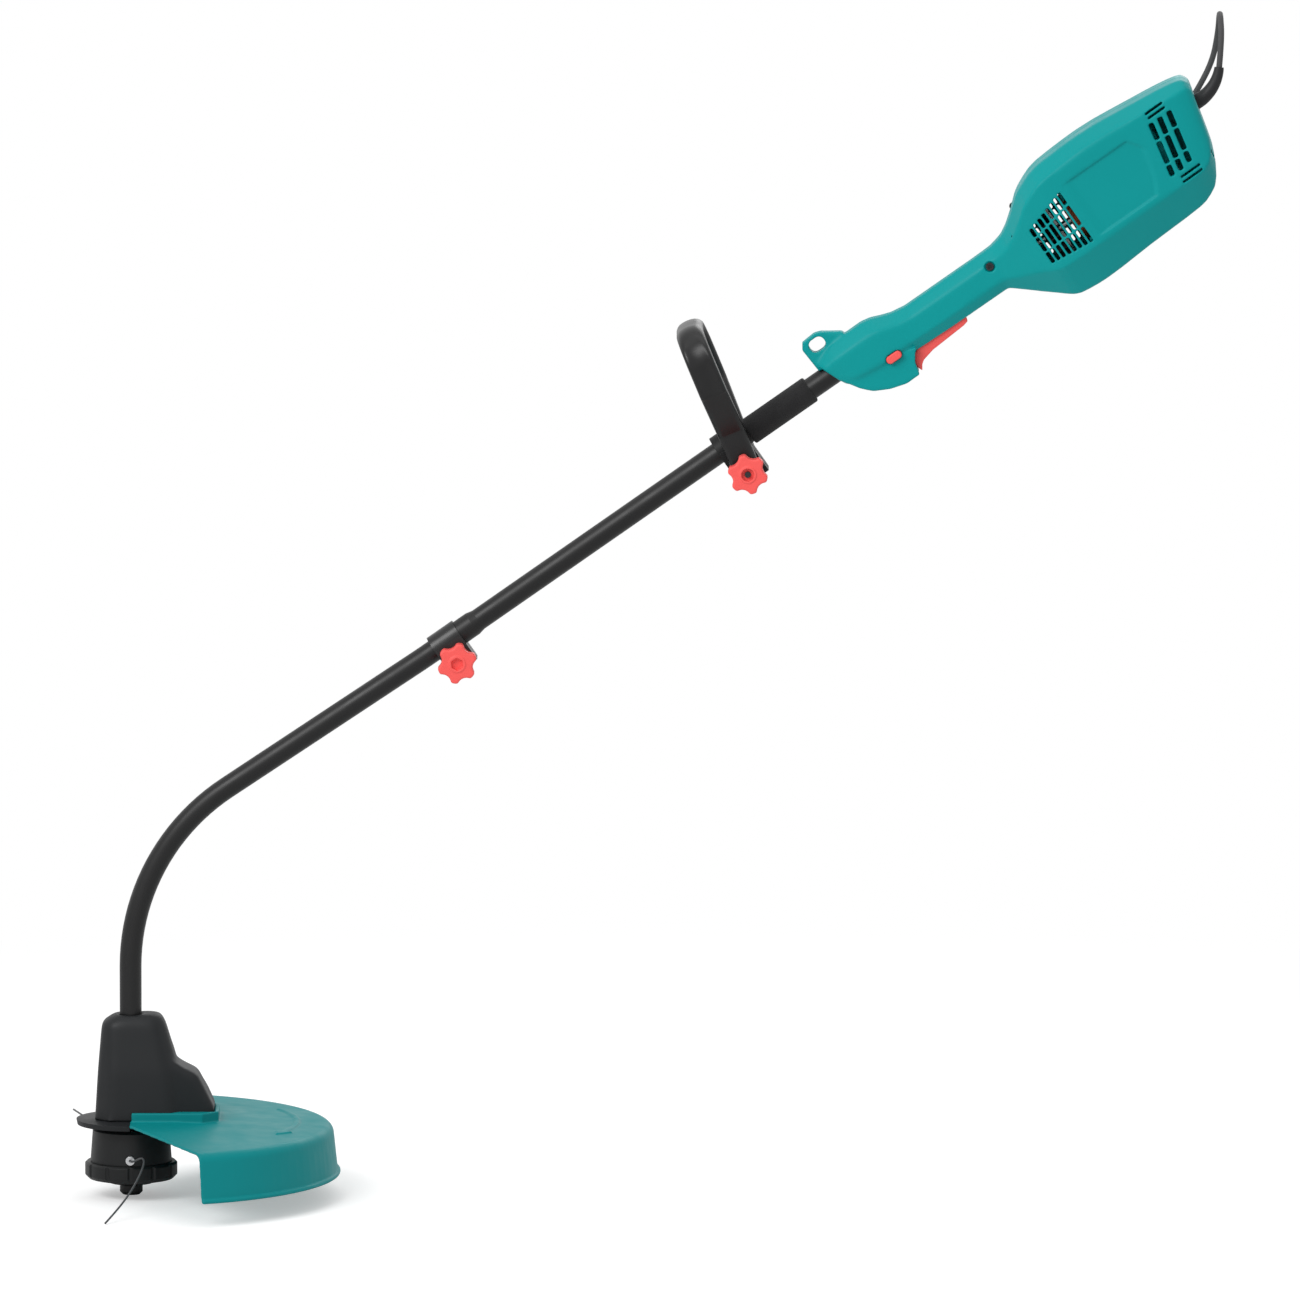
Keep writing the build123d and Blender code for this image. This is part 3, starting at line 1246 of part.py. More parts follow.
with BuildPart() as mains_lead:
    path = lead_route(lead_points)
    swept(path, CORD_R, 0)
    report_tube("mains lead", mains_lead, path, CORD_R)
save(mains_lead, "mains_lead")

PLUG_WIDE = 30.0
PLUG_DEEP = 14.0
PLUG_NECK = 10.0
PLUG_TOP = Plane(origin=lead_points[-1], x_dir=(1, 0, 0), z_dir=(0, 0, -1))
with BuildPart() as plug:
    with BuildSketch(PLUG_TOP) as neck:
        RectangleRounded(PLUG_NECK, PLUG_NECK - 1, 3)
    with BuildSketch(PLUG_TOP.offset(PLUG_LENGTH * 0.5)) as waist:
        RectangleRounded(PLUG_WIDE - 5, PLUG_DEEP - 1, 5)
    with BuildSketch(PLUG_TOP.offset(PLUG_LENGTH)) as face:
        RectangleRounded(PLUG_WIDE, PLUG_DEEP, 6)
    loft([neck.sketch, waist.sketch, face.sketch])
save(plug, "plug")

with BuildPart() as plug_pins:
    with BuildSketch(PLUG_TOP.offset(PLUG_LENGTH)) as pins:
        with GridLocations(PIN_PITCH, 1, 2, 1):
            Circle(PIN_R)
    extrude(pins.sketch, amount=PIN_LENGTH)
    fillet(plug_pins.faces().group_by(Axis.Z)[0].edges(), 1.2)
save(plug_pins, "plug_pins")

# ---- housing -------------------------------------------------------------------------
with BuildPart() as skin:
    loft([shell_row(row) for row in refined(GRIP_ROWS, GRIP_PIECES)], ruled=True)
    loft([shell_row(row) for row in refined(MOTOR_ROWS, MOTOR_PIECES)], ruled=True)
    through(lambda: Polygon(*FLARE, align=None), FLARE_HALF)
    through(lambda: Polygon(*LUG, align=None), EYE_HALF)

with BuildPart() as cavity:
    loft([shell_row(row, SHELL_WALL) for row in GRIP_ROWS[1:]], ruled=True)
    loft([shell_row(row, SHELL_WALL) for row in MOTOR_ROWS[:-1]], ruled=True)
    for start, width in BULKHEADS:
        with BuildSketch(square_to_tube(start)):
            Rectangle(4 * STOCK, 4 * STOCK)
        extrude(amount=width, mode=Mode.SUBTRACT)
    cross_pin(SCREW_STATION, 0, BOSS_R, -STOCK, STOCK, Mode.SUBTRACT)
    cross_pin(SCREW_STATION, 0, CUP_R, -STOCK, 2 - NEAR_SCREW_SEAT, Mode.SUBTRACT)
    for station, height, seat in FAR_SCREWS:
        cross_pin(station, height, BOSS_R, -STOCK, STOCK, Mode.SUBTRACT)
        cross_pin(station, height, CUP_R, seat - 2, STOCK, Mode.SUBTRACT)
    for side in (1, -1):
        cross_pin(*TRIGGER_PIVOT, PIVOT_BOSS_R, side * PIVOT_BOSS_FACE, side * STOCK, Mode.SUBTRACT)
        with BuildSketch(SHAFT.offset(side * SWITCH_SIZE[2] / 2)) as post:
            with Locations((SWITCH_START + SWITCH_SIZE[0] / 2, SWITCH_FLOOR + SWITCH_SIZE[1] / 2)):
                Rectangle(SWITCH_SIZE[0] - 4, SWITCH_SIZE[1] - 4)
        extrude(post.sketch, amount=side * STOCK, mode=Mode.SUBTRACT)
    with BuildSketch(SHAFT.offset(BUTTON_GUIDE)) as guide:
        with Locations(BUTTON_PLACE):
            Rectangle(BUTTON_SIZE[0] + 8, BUTTON_SIZE[1] + 4)
    extrude(guide.sketch, amount=STOCK, mode=Mode.SUBTRACT)


with BuildPart() as body:
    add(skin.part)
    add(cavity.part, mode=Mode.SUBTRACT)
    through(lambda: [Polygon(*FLARE, align=None), offset(amount=-SHELL_WALL, mode=Mode.REPLACE)],
            FLARE_HALF - SHELL_WALL, Mode.SUBTRACT)
    tube_disc(-STOCK, TUBE_R, TUBE_TOP_STATION + STOCK, Mode.SUBTRACT)
    motor_disc(BULKHEADS[1][0], FLEX_PASS_R, BULKHEADS[1][1], Mode.SUBTRACT)
    motor_disc(BULKHEADS[2][0], BEARING_LIP_R, BULKHEADS[2][1], Mode.SUBTRACT)
    motor_disc(FRONT_BEARING, BEARING_R, BEARING_W, Mode.SUBTRACT)
    motor_disc(BULKHEADS[3][0], STATOR_SEAT_R, REAR_PLATE - BULKHEADS[3][0], Mode.SUBTRACT)
    motor_disc(REAR_PLATE, BRUSH_SEAT_R, BULKHEADS[5][1], Mode.SUBTRACT)
    motor_disc(BULKHEADS[6][0], BEARING_LIP_R, BEARING_W, Mode.SUBTRACT)
    motor_disc(REAR_BEARING, BEARING_R, BEARING_W, Mode.SUBTRACT)
    tube_plane = square_to_tube(BOOT_NECK_START, BOOT_HEIGHT)
    disc(tube_plane, BOOT_R, BOOT_STATION - BOOT_NECK_START, Mode.SUBTRACT)
    through(draw_trigger_slot, SLOT_HALF, Mode.SUBTRACT)
    cross_pin(*TRIGGER_PIVOT, TRIGGER_PIN_R + RUNNING, -PIVOT_DEPTH, PIVOT_DEPTH, Mode.SUBTRACT)
    through(draw_eye, STOCK, Mode.SUBTRACT)
    with BuildSketch(SHAFT.offset(BUTTON_GUIDE - 1)) as button_hole:
        with Locations(BUTTON_PLACE):
            SlotOverall(BUTTON_SIZE[0] + 2 * FREE, BUTTON_SIZE[1] + 2 * FREE)
    extrude(button_hole.sketch, amount=STOCK, mode=Mode.SUBTRACT)
    with BuildSketch(SHAFT.offset(BUTTON_GUIDE)) as lip_room:
        with Locations(BUTTON_PLACE):
            SlotOverall(BUTTON_SIZE[0] + BUTTON_LIP + 2 * FREE, BUTTON_SIZE[1] + 2 * FREE)
    extrude(lip_room.sketch, amount=-BUTTON_STEP - BUTTON_TRAVEL - 2 * FREE, mode=Mode.SUBTRACT)
    for side in (1, -1):
        with BuildSketch(SHAFT.offset(side * VENT_DEPTH)) as vents:
            draw_slots(FRONT_BARS + REAR_BARS if side > 0 else FRONT_BARS)
        extrude(vents.sketch, amount=side * STOCK, mode=Mode.SUBTRACT)
        with BuildSketch(SHAFT.offset(side * PANEL_DEPTH)) as groove:
            panel = Polygon(*PANEL, align=None)
            fillet(panel.vertices(), PANEL_CORNER)
            offset(amount=-PANEL_GROOVE, mode=Mode.SUBTRACT)
        extrude(groove.sketch, amount=side * STOCK, mode=Mode.SUBTRACT)
    cross_pin(SCREW_STATION, 0, SCREW_R, -STOCK, SCREW_HOLD, Mode.SUBTRACT)
    cross_pin(SCREW_STATION, 0, SCREW_RECESS_R, -STOCK, -NEAR_SCREW_SEAT, Mode.SUBTRACT)
    for station, height, seat in FAR_SCREWS:
        cross_pin(station, height, SCREW_R, -SCREW_HOLD, STOCK, Mode.SUBTRACT)
        cross_pin(station, height, SCREW_RECESS_R, seat, STOCK, Mode.SUBTRACT)

with BuildPart() as housing_left:
    add(body.part)
    split(bisect_by=Plane.XZ, keep=Keep.TOP)
save(housing_left, "housing_left")

with BuildPart() as housing_right:
    add(body.part)
    split(bisect_by=Plane.XZ, keep=Keep.BOTTOM)
save(housing_right, "housing_right")

with BuildPart() as housing_screws:
    near = Plane(
        origin=shaft_point(0, 0, -NEAR_SCREW_SEAT), x_dir=SHAFT.x_dir, z_dir=SHAFT.z_dir
    )
    star_screw(near, [(SCREW_STATION, 0)], NEAR_SCREW_SEAT + SCREW_HOLD, STAR_R)
    for station, height, seat in FAR_SCREWS:
        far = Plane(origin=shaft_point(0, 0, seat), x_dir=-SHAFT.x_dir, z_dir=-SHAFT.z_dir)
        star_screw(far, [(-station, height)], seat + SCREW_HOLD, STAR_R)
save(housing_screws, "housing_screws")
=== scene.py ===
"""The string trimmer's looks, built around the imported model.

The camera and the cords come first, then the finishes of the drawn parts, the moulded shells that
stand for some of them, the tap knob's spring, the light and the floor.
"""
import math

import bmesh
import bpy
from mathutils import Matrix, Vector


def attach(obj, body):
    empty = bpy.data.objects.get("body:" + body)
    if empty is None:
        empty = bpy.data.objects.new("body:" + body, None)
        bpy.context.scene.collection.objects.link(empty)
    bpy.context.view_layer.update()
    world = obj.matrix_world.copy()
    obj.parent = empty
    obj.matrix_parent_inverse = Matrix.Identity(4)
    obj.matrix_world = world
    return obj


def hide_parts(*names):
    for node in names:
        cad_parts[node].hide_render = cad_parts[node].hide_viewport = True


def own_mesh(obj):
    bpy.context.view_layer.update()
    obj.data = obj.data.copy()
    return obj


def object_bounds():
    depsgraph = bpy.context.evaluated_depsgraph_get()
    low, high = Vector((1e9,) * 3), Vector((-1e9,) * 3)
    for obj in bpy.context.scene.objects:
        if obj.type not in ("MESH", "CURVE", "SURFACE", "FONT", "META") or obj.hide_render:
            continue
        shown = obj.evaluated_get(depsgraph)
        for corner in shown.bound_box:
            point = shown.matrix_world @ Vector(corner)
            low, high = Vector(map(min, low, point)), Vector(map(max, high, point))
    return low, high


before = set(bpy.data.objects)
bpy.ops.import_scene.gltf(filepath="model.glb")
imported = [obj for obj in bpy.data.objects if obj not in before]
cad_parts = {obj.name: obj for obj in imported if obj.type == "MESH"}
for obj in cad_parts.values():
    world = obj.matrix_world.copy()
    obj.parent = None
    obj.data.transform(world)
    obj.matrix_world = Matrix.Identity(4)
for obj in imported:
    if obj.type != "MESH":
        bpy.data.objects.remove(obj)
cad_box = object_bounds()
MM = 0.001
QUARTER = math.pi / 2
SLOPE = math.radians(35.03)       # the grip and motor housing lie along this slope
SPINDLE_X = -0.8193               # the cutting head's axis


# ---- helpers --------------------------------------------------------------------------
def placed(name, data):
    """A new object in the scene."""
    piece = bpy.data.objects.new(name, data)
    bpy.context.scene.collection.objects.link(piece)
    return piece


def dress(piece, material):
    piece.data.materials.clear()
    piece.data.materials.append(material)


def feed(tree, socket, value):
    """Link a socket to another one, or set it to a plain value."""
    if isinstance(value, bpy.types.NodeSocket):
        tree.links.new(value, socket)
    else:
        socket.default_value = value


def add_node(tree, kind, sockets=None, **settings):
    """A shader node, its settings made first and then its sockets, given by name or number."""
    made = tree.nodes.new("ShaderNode" + kind)
    for key, value in settings.items():
        setattr(made, key, value)
    for socket, value in (sockets or {}).items():
        feed(tree, made.inputs[socket], value)
    return made


# ---- camera ---------------------------------------------------------------------------
FIELD = 1.303                     # width of the view at the object, in metres
LENS, SENSOR = 600.0, 36.0        # millimetres
ELEVATION = math.radians(8.0)
AIM = Vector((-0.2976, 0.0, -0.3507))


def make_camera():
    data = bpy.data.cameras.new("camera")
    data.lens = LENS
    data.sensor_width = SENSOR
    reach = FIELD * LENS / SENSOR
    data.clip_end = 4 * reach
    camera = placed("camera", data)
    back = Vector((0.0, -math.cos(ELEVATION), math.sin(ELEVATION)))
    camera.location = AIM + back * reach
    camera.rotation_euler = (-back).to_track_quat("-Z", "Y").to_euler()
    bpy.context.scene.camera = camera


# ---- node materials -------------------------------------------------------------------
# How alike the rounded and the plain normal are: on a rubbed edge, and off it.
EDGE_FACING = (0.8, 0.965)
EDGE_SAMPLES = 6


def linear(*colour):
    """Linear colour of an sRGB colour given from 0 to 255."""
    return tuple(srgb_to_linear(value / 255) for value in colour) + (1.0,)


def srgb_to_linear(share):
    return share / 12.92 if share <= 0.04045 else ((share + 0.055) / 1.055) ** 2.4


def tinted(colour, gain):
    """A colour made lighter or darker."""
    return tuple(min(1.0, value * gain) for value in colour[:3]) + (1.0,)


class Finish:
    """A node material, built up call by call."""

    def __init__(self, name, specular=0.5, metallic=0.0):
        self.material = bpy.data.materials.new(name)
        self.material.use_nodes = True
        self.shader = self.material.node_tree.nodes["Principled BSDF"]
        self.shader.inputs["Specular IOR Level"].default_value = specular
        self.shader.inputs["Metallic"].default_value = metallic
        self.place = self.add("TexCoord").outputs["Object"]
        self.relief = None

    def add(self, kind, sockets=None, **settings):
        return add_node(self.material.node_tree, kind, sockets, **settings)

    def noise(self, scale, detail=2.0, place=None):
        """Noise with so many features per metre."""
        sockets = {"Vector": place or self.place, "Scale": scale, "Detail": detail}
        return self.add("TexNoise", sockets).outputs["Fac"]

    def cells(self, scale):
        sockets = {"Vector": self.place, "Scale": scale}
        return self.add("TexVoronoi", sockets, feature="SMOOTH_F1").outputs["Distance"]

    def stretched(self, stretch, turn=(0.0, 0.0, 0.0)):
        """Coordinates turned and then stretched along their own axes."""
        turned = self.add("Mapping", {"Vector": self.place, "Rotation": turn}).outputs["Vector"]
        return self.add("Mapping", {"Vector": turned, "Scale": stretch}).outputs["Vector"]

    def span(self, value, low, high, start=0.3, end=0.7):
        """A value from start to end, spread over low to high."""
        names = {"From Min": start, "From Max": end, "To Min": low, "To Max": high}
        return self.add("MapRange", {"Value": value, **names}).outputs["Result"]

    def times(self, first, second):
        return self.add("Math", {0: first, 1: second}, operation="MULTIPLY").outputs[0]

    def plus(self, first, second):
        return self.add("Math", {0: first, 1: second}, operation="ADD").outputs[0]

    def mix(self, share, first, second):
        """A colour between two, whose sockets on the node are the seventh and eighth."""
        return self.add("Mix", {0: share, 6: first, 7: second}, data_type="RGBA").outputs[2]

    def edges(self, radius):
        """How near an edge a point is, and the rounded normal that an edge has."""
        rounded = self.add("Bevel", {"Radius": radius}, samples=EDGE_SAMPLES).outputs["Normal"]
        plain = self.add("NewGeometry").outputs["Normal"]
        alike = self.add("VectorMath", {0: rounded, 1: plain}, operation="DOT_PRODUCT")
        self.relief = rounded
        return self.span(alike.outputs["Value"], 1.0, 0.0, *EDGE_FACING)

    def bump(self, height, depth):
        """Relief of so many metres, on top of any there is."""
        sockets = {"Height": height, "Distance": depth, "Strength": 1.0}
        if self.relief:
            sockets["Normal"] = self.relief
        self.relief = self.add("Bump", sockets).outputs["Normal"]

    def done(self, colour, roughness):
        """The material, with the colour, roughness and relief on its shader."""
        values = {"Base Color": colour, "Roughness": roughness}
        if self.relief:
            values["Normal"] = self.relief
        for socket, value in values.items():
            feed(self.material.node_tree, self.shader.inputs[socket], value)
        return self.material


# ---- finishes -------------------------------------------------------------------------
PLASTIC_TONE = 0.05               # how far a plastic's tone drifts either way
RUBBED_GAIN, RUBBED_POLISH = 1.6, -0.1


def plastic(name, colour, roughness, grain=1100.0, depth=0.02, wear=0.25, specular=0.3, edge=0.8):
    """Moulded plastic: spark-eroded grain, slow tone drift, handled patches and rubbed edges."""
    made = Finish(name, specular)
    rubbed = made.edges(edge * MM)
    drift = made.noise(9.0, 3.0)
    body = made.mix(drift, tinted(colour, 1 - PLASTIC_TONE), tinted(colour, 1 + PLASTIC_TONE))
    marks = made.span(made.noise(260.0, 4.0), 0.0, 1.0, 0.45, 0.62)
    worn = made.times(made.times(rubbed, marks), wear)
    body = made.mix(worn, body, tinted(colour, RUBBED_GAIN))
    handled = made.span(made.noise(38.0, 5.0), roughness - 0.05, roughness + 0.07)
    made.bump(made.noise(grain, 2.0), depth * MM)
    return made.done(body, made.plus(handled, made.times(worn, RUBBED_POLISH)))


def paint(name, colour, roughness, specular=0.5):
    """Stoved paint on steel tube: a slight orange peel and a tone that drifts along the tube."""
    made = Finish(name, specular)
    drift, peel, smears = made.noise(7.0, 3.0), made.noise(700.0, 2.0), made.noise(40.0, 4.0)
    body = made.mix(drift, tinted(colour, 0.92), tinted(colour, 1.1))
    made.bump(peel, 0.006 * MM)
    return made.done(body, made.span(smears, roughness - 0.03, roughness + 0.06))


METAL_TONE = 0.12                 # how far stains change a metal's tone either way


def metal(name, colour, roughness, scratch=(1.0, 1.0, 1.0)):
    """Bare metal: fine tool marks stretched along one way, stains and bright edges."""
    made = Finish(name, metallic=1.0)
    rubbed = made.edges(0.3 * MM)
    marks = made.noise(900.0, 3.0, made.stretched(scratch))
    stains = made.noise(60.0, 4.0)
    body = made.mix(stains, tinted(colour, 1 - METAL_TONE), tinted(colour, 1 + METAL_TONE))
    body = made.mix(made.times(rubbed, 0.5), body, tinted(colour, 1.5))
    made.bump(marks, 0.015 * MM)
    return made.done(body, made.span(marks, roughness - 0.08, roughness + 0.12))


def layered(name, colour, gap, pitch, roughness, metallic=0.0, way=(0.0, 0.0, 0.0)):
    """Turns of wire or stacked sheets: fine parallel bands with dark gaps between them."""
    made = Finish(name, metallic=metallic)
    turned = made.stretched((1.0, 1.0, 1.0), way)
    sockets = {"Vector": turned, "Scale": math.pi / (10 * pitch), "Distortion": 0.15}
    waves = made.add("TexWave", sockets, wave_profile="SIN", bands_direction="X")
    bands = waves.outputs["Fac"]
    drift = made.mix(made.noise(80.0, 3.0), tinted(colour, 0.85), tinted(colour, 1.1))
    body = made.mix(made.span(bands, 0.0, 1.0, 0.1, 0.45), gap, drift)
    made.bump(bands, 0.25 * pitch)
    smears = made.noise(150.0, 3.0)
    return made.done(body, made.span(smears, roughness - 0.05, roughness + 0.1))


def foam(name, colour):
    """Closed-cell foam: small open pores, darkened with painted shade, over a soft matt skin."""
    made = Finish(name, 0.25)
    pores = made.cells(700.0)
    body = made.mix(made.noise(25.0, 4.0), tinted(colour, 0.85), tinted(colour, 1.15))
    # Painted shade: the pores' middles are darkened towards 0.4 of the colour, standing in for the
    # shade inside them.
    body = made.mix(made.span(pores, 0.35, 0.0, 0.15, 0.5), body, tinted(colour, 0.4))
    made.bump(pores, 0.25 * MM)
    made.shader.inputs["Sheen Weight"].default_value = 0.08
    made.shader.inputs["Sheen Roughness"].default_value = 0.6
    return made.done(body, made.span(made.noise(90.0, 3.0), 0.82, 0.95))


TEAL = linear(0, 149, 150)
RED = linear(246, 92, 88)
BLACK = linear(16, 17, 18)
STEEL = linear(176, 178, 180)
ACROSS = (0.0, QUARTER, 0.0)      # bands stacked upwards instead of along x
ON_SLOPE = (0.0, SLOPE, 0.0)      # bands stacked along the motor


def make_finishes():
    return {
        "housing": plastic("teal_moulded_plastic", TEAL, 0.42, wear=0.3, edge=1.2, specular=0.15),
        "guard": plastic("guard_plastic", linear(0, 130, 133), 0.46, grain=800.0, wear=0.3,
                         specular=0.15),
        "red": plastic("red_plastic", RED, 0.45, grain=1300.0, wear=0.2),
        "black": plastic("black_plastic", BLACK, 0.5, wear=0.5, specular=0.25),
        "head": plastic("head_plastic", linear(26, 28, 30), 0.5, grain=900.0, depth=0.04,
                        specular=0.25, wear=0.5),
        "grip": plastic("handle_plastic", linear(18, 18, 19), 0.34, grain=1400.0, depth=0.01,
                        specular=0.35),
        "spool": plastic("spool_plastic", linear(14, 16, 17), 0.45, wear=0.6),
        "rubber": plastic("boot_rubber", linear(29, 29, 31), 0.5, grain=600.0, depth=0.03,
                          specular=0.35),
        "lead": plastic("lead_sheath", linear(70, 70, 71), 0.6, grain=1600.0, depth=0.05),
        "nylon": plastic("line_nylon", linear(70, 72, 74), 0.4, grain=2500.0, depth=0.01,
                         edge=0.2),
        "white": plastic("white_plastic", linear(214, 212, 204), 0.5),
        "tube": paint("black_tube_paint", linear(8, 8, 9), 0.39, specular=0.38),
        "collar": paint("black_collar_paint", linear(14, 14, 15), 0.32),
        "foam": foam("grip_foam", linear(31, 31, 32)),
        "steel": metal("turned_steel", STEEL, 0.34, scratch=(1.0, 1.0, 8.0)),
        "dark_steel": metal("blackened_steel", linear(62, 62, 64), 0.4),
        "spring": metal("spring_steel", linear(160, 160, 160), 0.3),
        "brass": metal("brass", linear(205, 170, 100), 0.32),
        "eyelet": metal("eyelet_aluminium", linear(205, 206, 208), 0.3),
        "carbon": plastic("carbon", linear(42, 42, 44), 0.6, grain=2000.0, depth=0.03),
        "laminations": layered("steel_laminations", linear(120, 122, 126), linear(40, 40, 42),
                               0.6 * MM, 0.45, metallic=1.0, way=ON_SLOPE),
        "windings": layered("enamelled_copper", linear(176, 92, 44), linear(50, 22, 12),
                            0.7 * MM, 0.35, metallic=0.6),
        "wound_line": layered("wound_nylon", linear(74, 76, 78), linear(18, 18, 20),
                              2.0 * MM, 0.4, way=ACROSS),
    }


NODE_FINISH = {
    "housing": ["housing_left", "housing_right"],
    "guard": ["guard"],
    "red": ["trigger", "lock_button", "handle_knob", "collar_knob"],
    "black": ["handle_saddle", "knob_washer", "switch_body", "plug", "cooling_fan"],
    "head": ["head_housing_left", "head_housing_right", "head_flange"],
    "grip": ["loop_handle"],
    "spool": ["spool_case", "spool_cover", "tap_knob", "line_spool"],
    "rubber": ["cable_boot"],
    "lead": ["mains_lead"],
    "nylon": ["line_near", "line_far"],
    "white": ["drive_liner", "liner_bushings", "switch_plunger"],
    "tube": ["upper_tube", "lower_tube"],
    "collar": ["tube_collar"],
    "foam": ["foam_sleeve"],
    "steel": ["motor_bearings", "spindle_bearings", "armature_shaft", "flex_shaft",
              "line_cutter", "plug_pins", "drive_coupler", "capacitor", "head_spindle"],
    "dark_steel": ["housing_screws", "head_screws", "flange_screws", "guard_screws",
                   "collar_bolt", "handle_bolt"],
    "spring": ["knob_spring"],
    "brass": ["brush_holders", "commutator"],
    "eyelet": ["eyelets"],
    "carbon": ["carbon_brushes"],
    "laminations": ["field_core", "armature_core"],
    "windings": ["field_windings", "armature_windings"],
    "wound_line": ["wound_line"],
}


# ---- cords ----------------------------------------------------------------------------
LEAD_DIAMETER = 0.006
LINE_DIAMETER = 0.002
LEAD_POINTS = [
    (0.2707, 0.0, 0.23687), (0.2732, 0.0, 0.2653), (0.2724, 0.0209, 0.2861),
    (0.2722, 0.0503, 0.2864), (0.2716, 0.071, 0.2656), (0.2665, 0.0755, 0.236),
    (0.252, 0.075, 0.207), (0.2325, 0.0707, 0.1775), (0.2325, 0.0707, 0.1479),
]
# The line tails' points have their x from the spindle.
NEAR_TAIL = [
    (0.0, -0.0443, -0.8625), (0.002, -0.058, -0.862), (0.013, -0.076, -0.853),
    (0.016, -0.096, -0.856), (0.008, -0.12, -0.872), (-0.006, -0.148, -0.89),
    (-0.022, -0.174, -0.904),
]
FAR_TAIL = [
    (0.0, 0.0443, -0.8625), (-0.004, 0.06, -0.862), (-0.022, 0.082, -0.854),
    (-0.042, 0.104, -0.846), (-0.056, 0.132, -0.842), (-0.062, 0.16, -0.843),
]


def cord(name, points, diameter, material):
    """A round cord on one smooth spline."""
    data = bpy.data.curves.new(name, "CURVE")
    data.dimensions = "3D"
    data.resolution_u = 16
    data.bevel_depth = diameter / 2
    data.bevel_resolution = 6
    data.use_fill_caps = True
    spline = data.splines.new("NURBS")
    spline.points.add(len(points) - 1)
    for point, place in zip(spline.points, points):
        point.co = (*place, 1.0)
    spline.order_u = 3
    spline.use_endpoint_u = True
    data.materials.append(material)
    return placed(name, data)


def make_cords(finishes):
    lead = cord("mains_lead_sheath", LEAD_POINTS, LEAD_DIAMETER, finishes["lead"])
    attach(lead, "frame")
    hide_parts("mains_lead")
    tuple(LEAD_POINTS[0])
    for side, tail, length in (("near", NEAR_TAIL, 0.1552), ("far", FAR_TAIL, 0.136)):
        points = [(SPINDLE_X + x, y, z) for x, y, z in tail]
        line = cord(f"line_tail_{side}", points, LINE_DIAMETER, finishes["nylon"])
        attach(line, "cutting_head")
        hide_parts(f"line_{side}")
        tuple(points[0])


# ---- moulded shells -------------------------------------------------------------------
# Stations along the housing and heights off its axis are in millimetres. The frame's origin, which
# is the grip's centre, is at this station, and the axis passes this far above it.
GRIP_STATION, GRIP_RISE = 138.0, 7.5
SEAM_KEPT = 4.0                   # millimetres beside the split line that stay crisp
# Where the housing has slots, buttons and bosses: station and height, lowest and highest.
FEATURES = [
    ((246.0, 300.0), (-58.0, 45.0)), ((396.0, 438.0), (-42.0, 42.0)),
    ((53.0, 75.0), (-26.0, -13.0)), ((73.0, 94.0), (-54.0, -22.0)),
    ((88.0, 150.0), (-32.0, -17.0)), ((-4.0, 19.0), (24.0, 43.0)),
    ((186.0, 203.0), (-8.0, 8.0)),
]
CLAMPED_BELOW = 34.0              # the loop handle keeps its drawn shape up to this height
WELD_REACH = 0.005                # millimetres
# Each shell: the body it rides on, its voxel in millimetres, the passes everywhere and the further
# passes away from the seam and the features.
SHELLS = {
    "housing_left": ("frame", 1.0, 4, 40),
    "housing_right": ("frame", 1.0, 4, 40),
    "guard": ("frame", 0.9, 2, 0),
    "loop_handle": ("loop", 0.9, 6, 16),
    "foam_sleeve": ("frame", 0.7, 12, 0),
    "handle_knob": ("handle_knob", 0.45, 4, 0),
    "collar_knob": ("collar_knob", 0.45, 4, 0),
    "trigger": ("trigger", 0.6, 5, 0),
    "lock_button": ("lock_button", 0.4, 4, 0),
}
MOST_FACES = 95_000               # quads, so that a shell stays under 200,000 triangles


def along_grip(point):
    """A point's station along the housing and height off its axis, in millimetres."""
    x, z = point.x / MM, point.z / MM
    station = x * math.cos(SLOPE) + z * math.sin(SLOPE) + GRIP_STATION
    return station, z * math.cos(SLOPE) - x * math.sin(SLOPE) - GRIP_RISE


def plainness(point):
    """How far the surface at a point is from the seam and from every feature, from 0 to 1."""
    station, height = along_grip(point)
    share = min(1.0, max(0.0, abs(point.y) / MM - SEAM_KEPT) / SEAM_KEPT)
    for (start, end), (low, high) in FEATURES:
        away = max(start - station, station - end, low - height, height - high)
        share = min(share, max(0.0, away) / SEAM_KEPT)
    return min(1.0, share)


# The sunk panel's corners: station and height.
PANEL = [
    (300.0, 29.0), (381.0, 29.0), (393.0, 12.0), (385.0, -20.0), (376.0, -35.0), (300.0, -35.0),
]
# How far its wall slopes in from each edge: crisp above, wide and soft towards the rear vents.
PANEL_WALLS = [1.6, 4.0, 7.0, 6.0, 1.8, 14.0]
PANEL_DEPTH = 1.9
PANEL_SKIN = 30.0                 # the skin lies further than this from the middle


def sunk(point):
    """Where y of a point of the housing goes, moved in if it lies on the sunk panel."""
    place = along_grip(point)
    share = 1.0
    for start, end, wall in zip(PANEL, PANEL[1:] + PANEL[:1], PANEL_WALLS):
        run, rise = end[0] - start[0], end[1] - start[1]
        across = (place[0] - start[0]) * rise - (place[1] - start[1]) * run
        inside = across / math.hypot(run, rise)
        ramp = min(1.0, max(0.0, inside / wall))
        share *= ramp * ramp * (3 - 2 * ramp)
    return point.y - math.copysign(PANEL_DEPTH * MM * share, point.y)


def loop_plainness(point):
    """0 where the loop handle is clamped, rising to 1 along its legs."""
    return min(1.0, max(0.0, along_grip(point)[1] - CLAMPED_BELOW) / CLAMPED_BELOW)


LOOP_FOOT = (-121.5, -29.5)       # where the loop's bolt crosses: station and height
LOOP_LEAN = math.radians(12.4)    # the loop's plane leans so far from straight across the tube
LOOP_HALF_DEPTH = 14.6
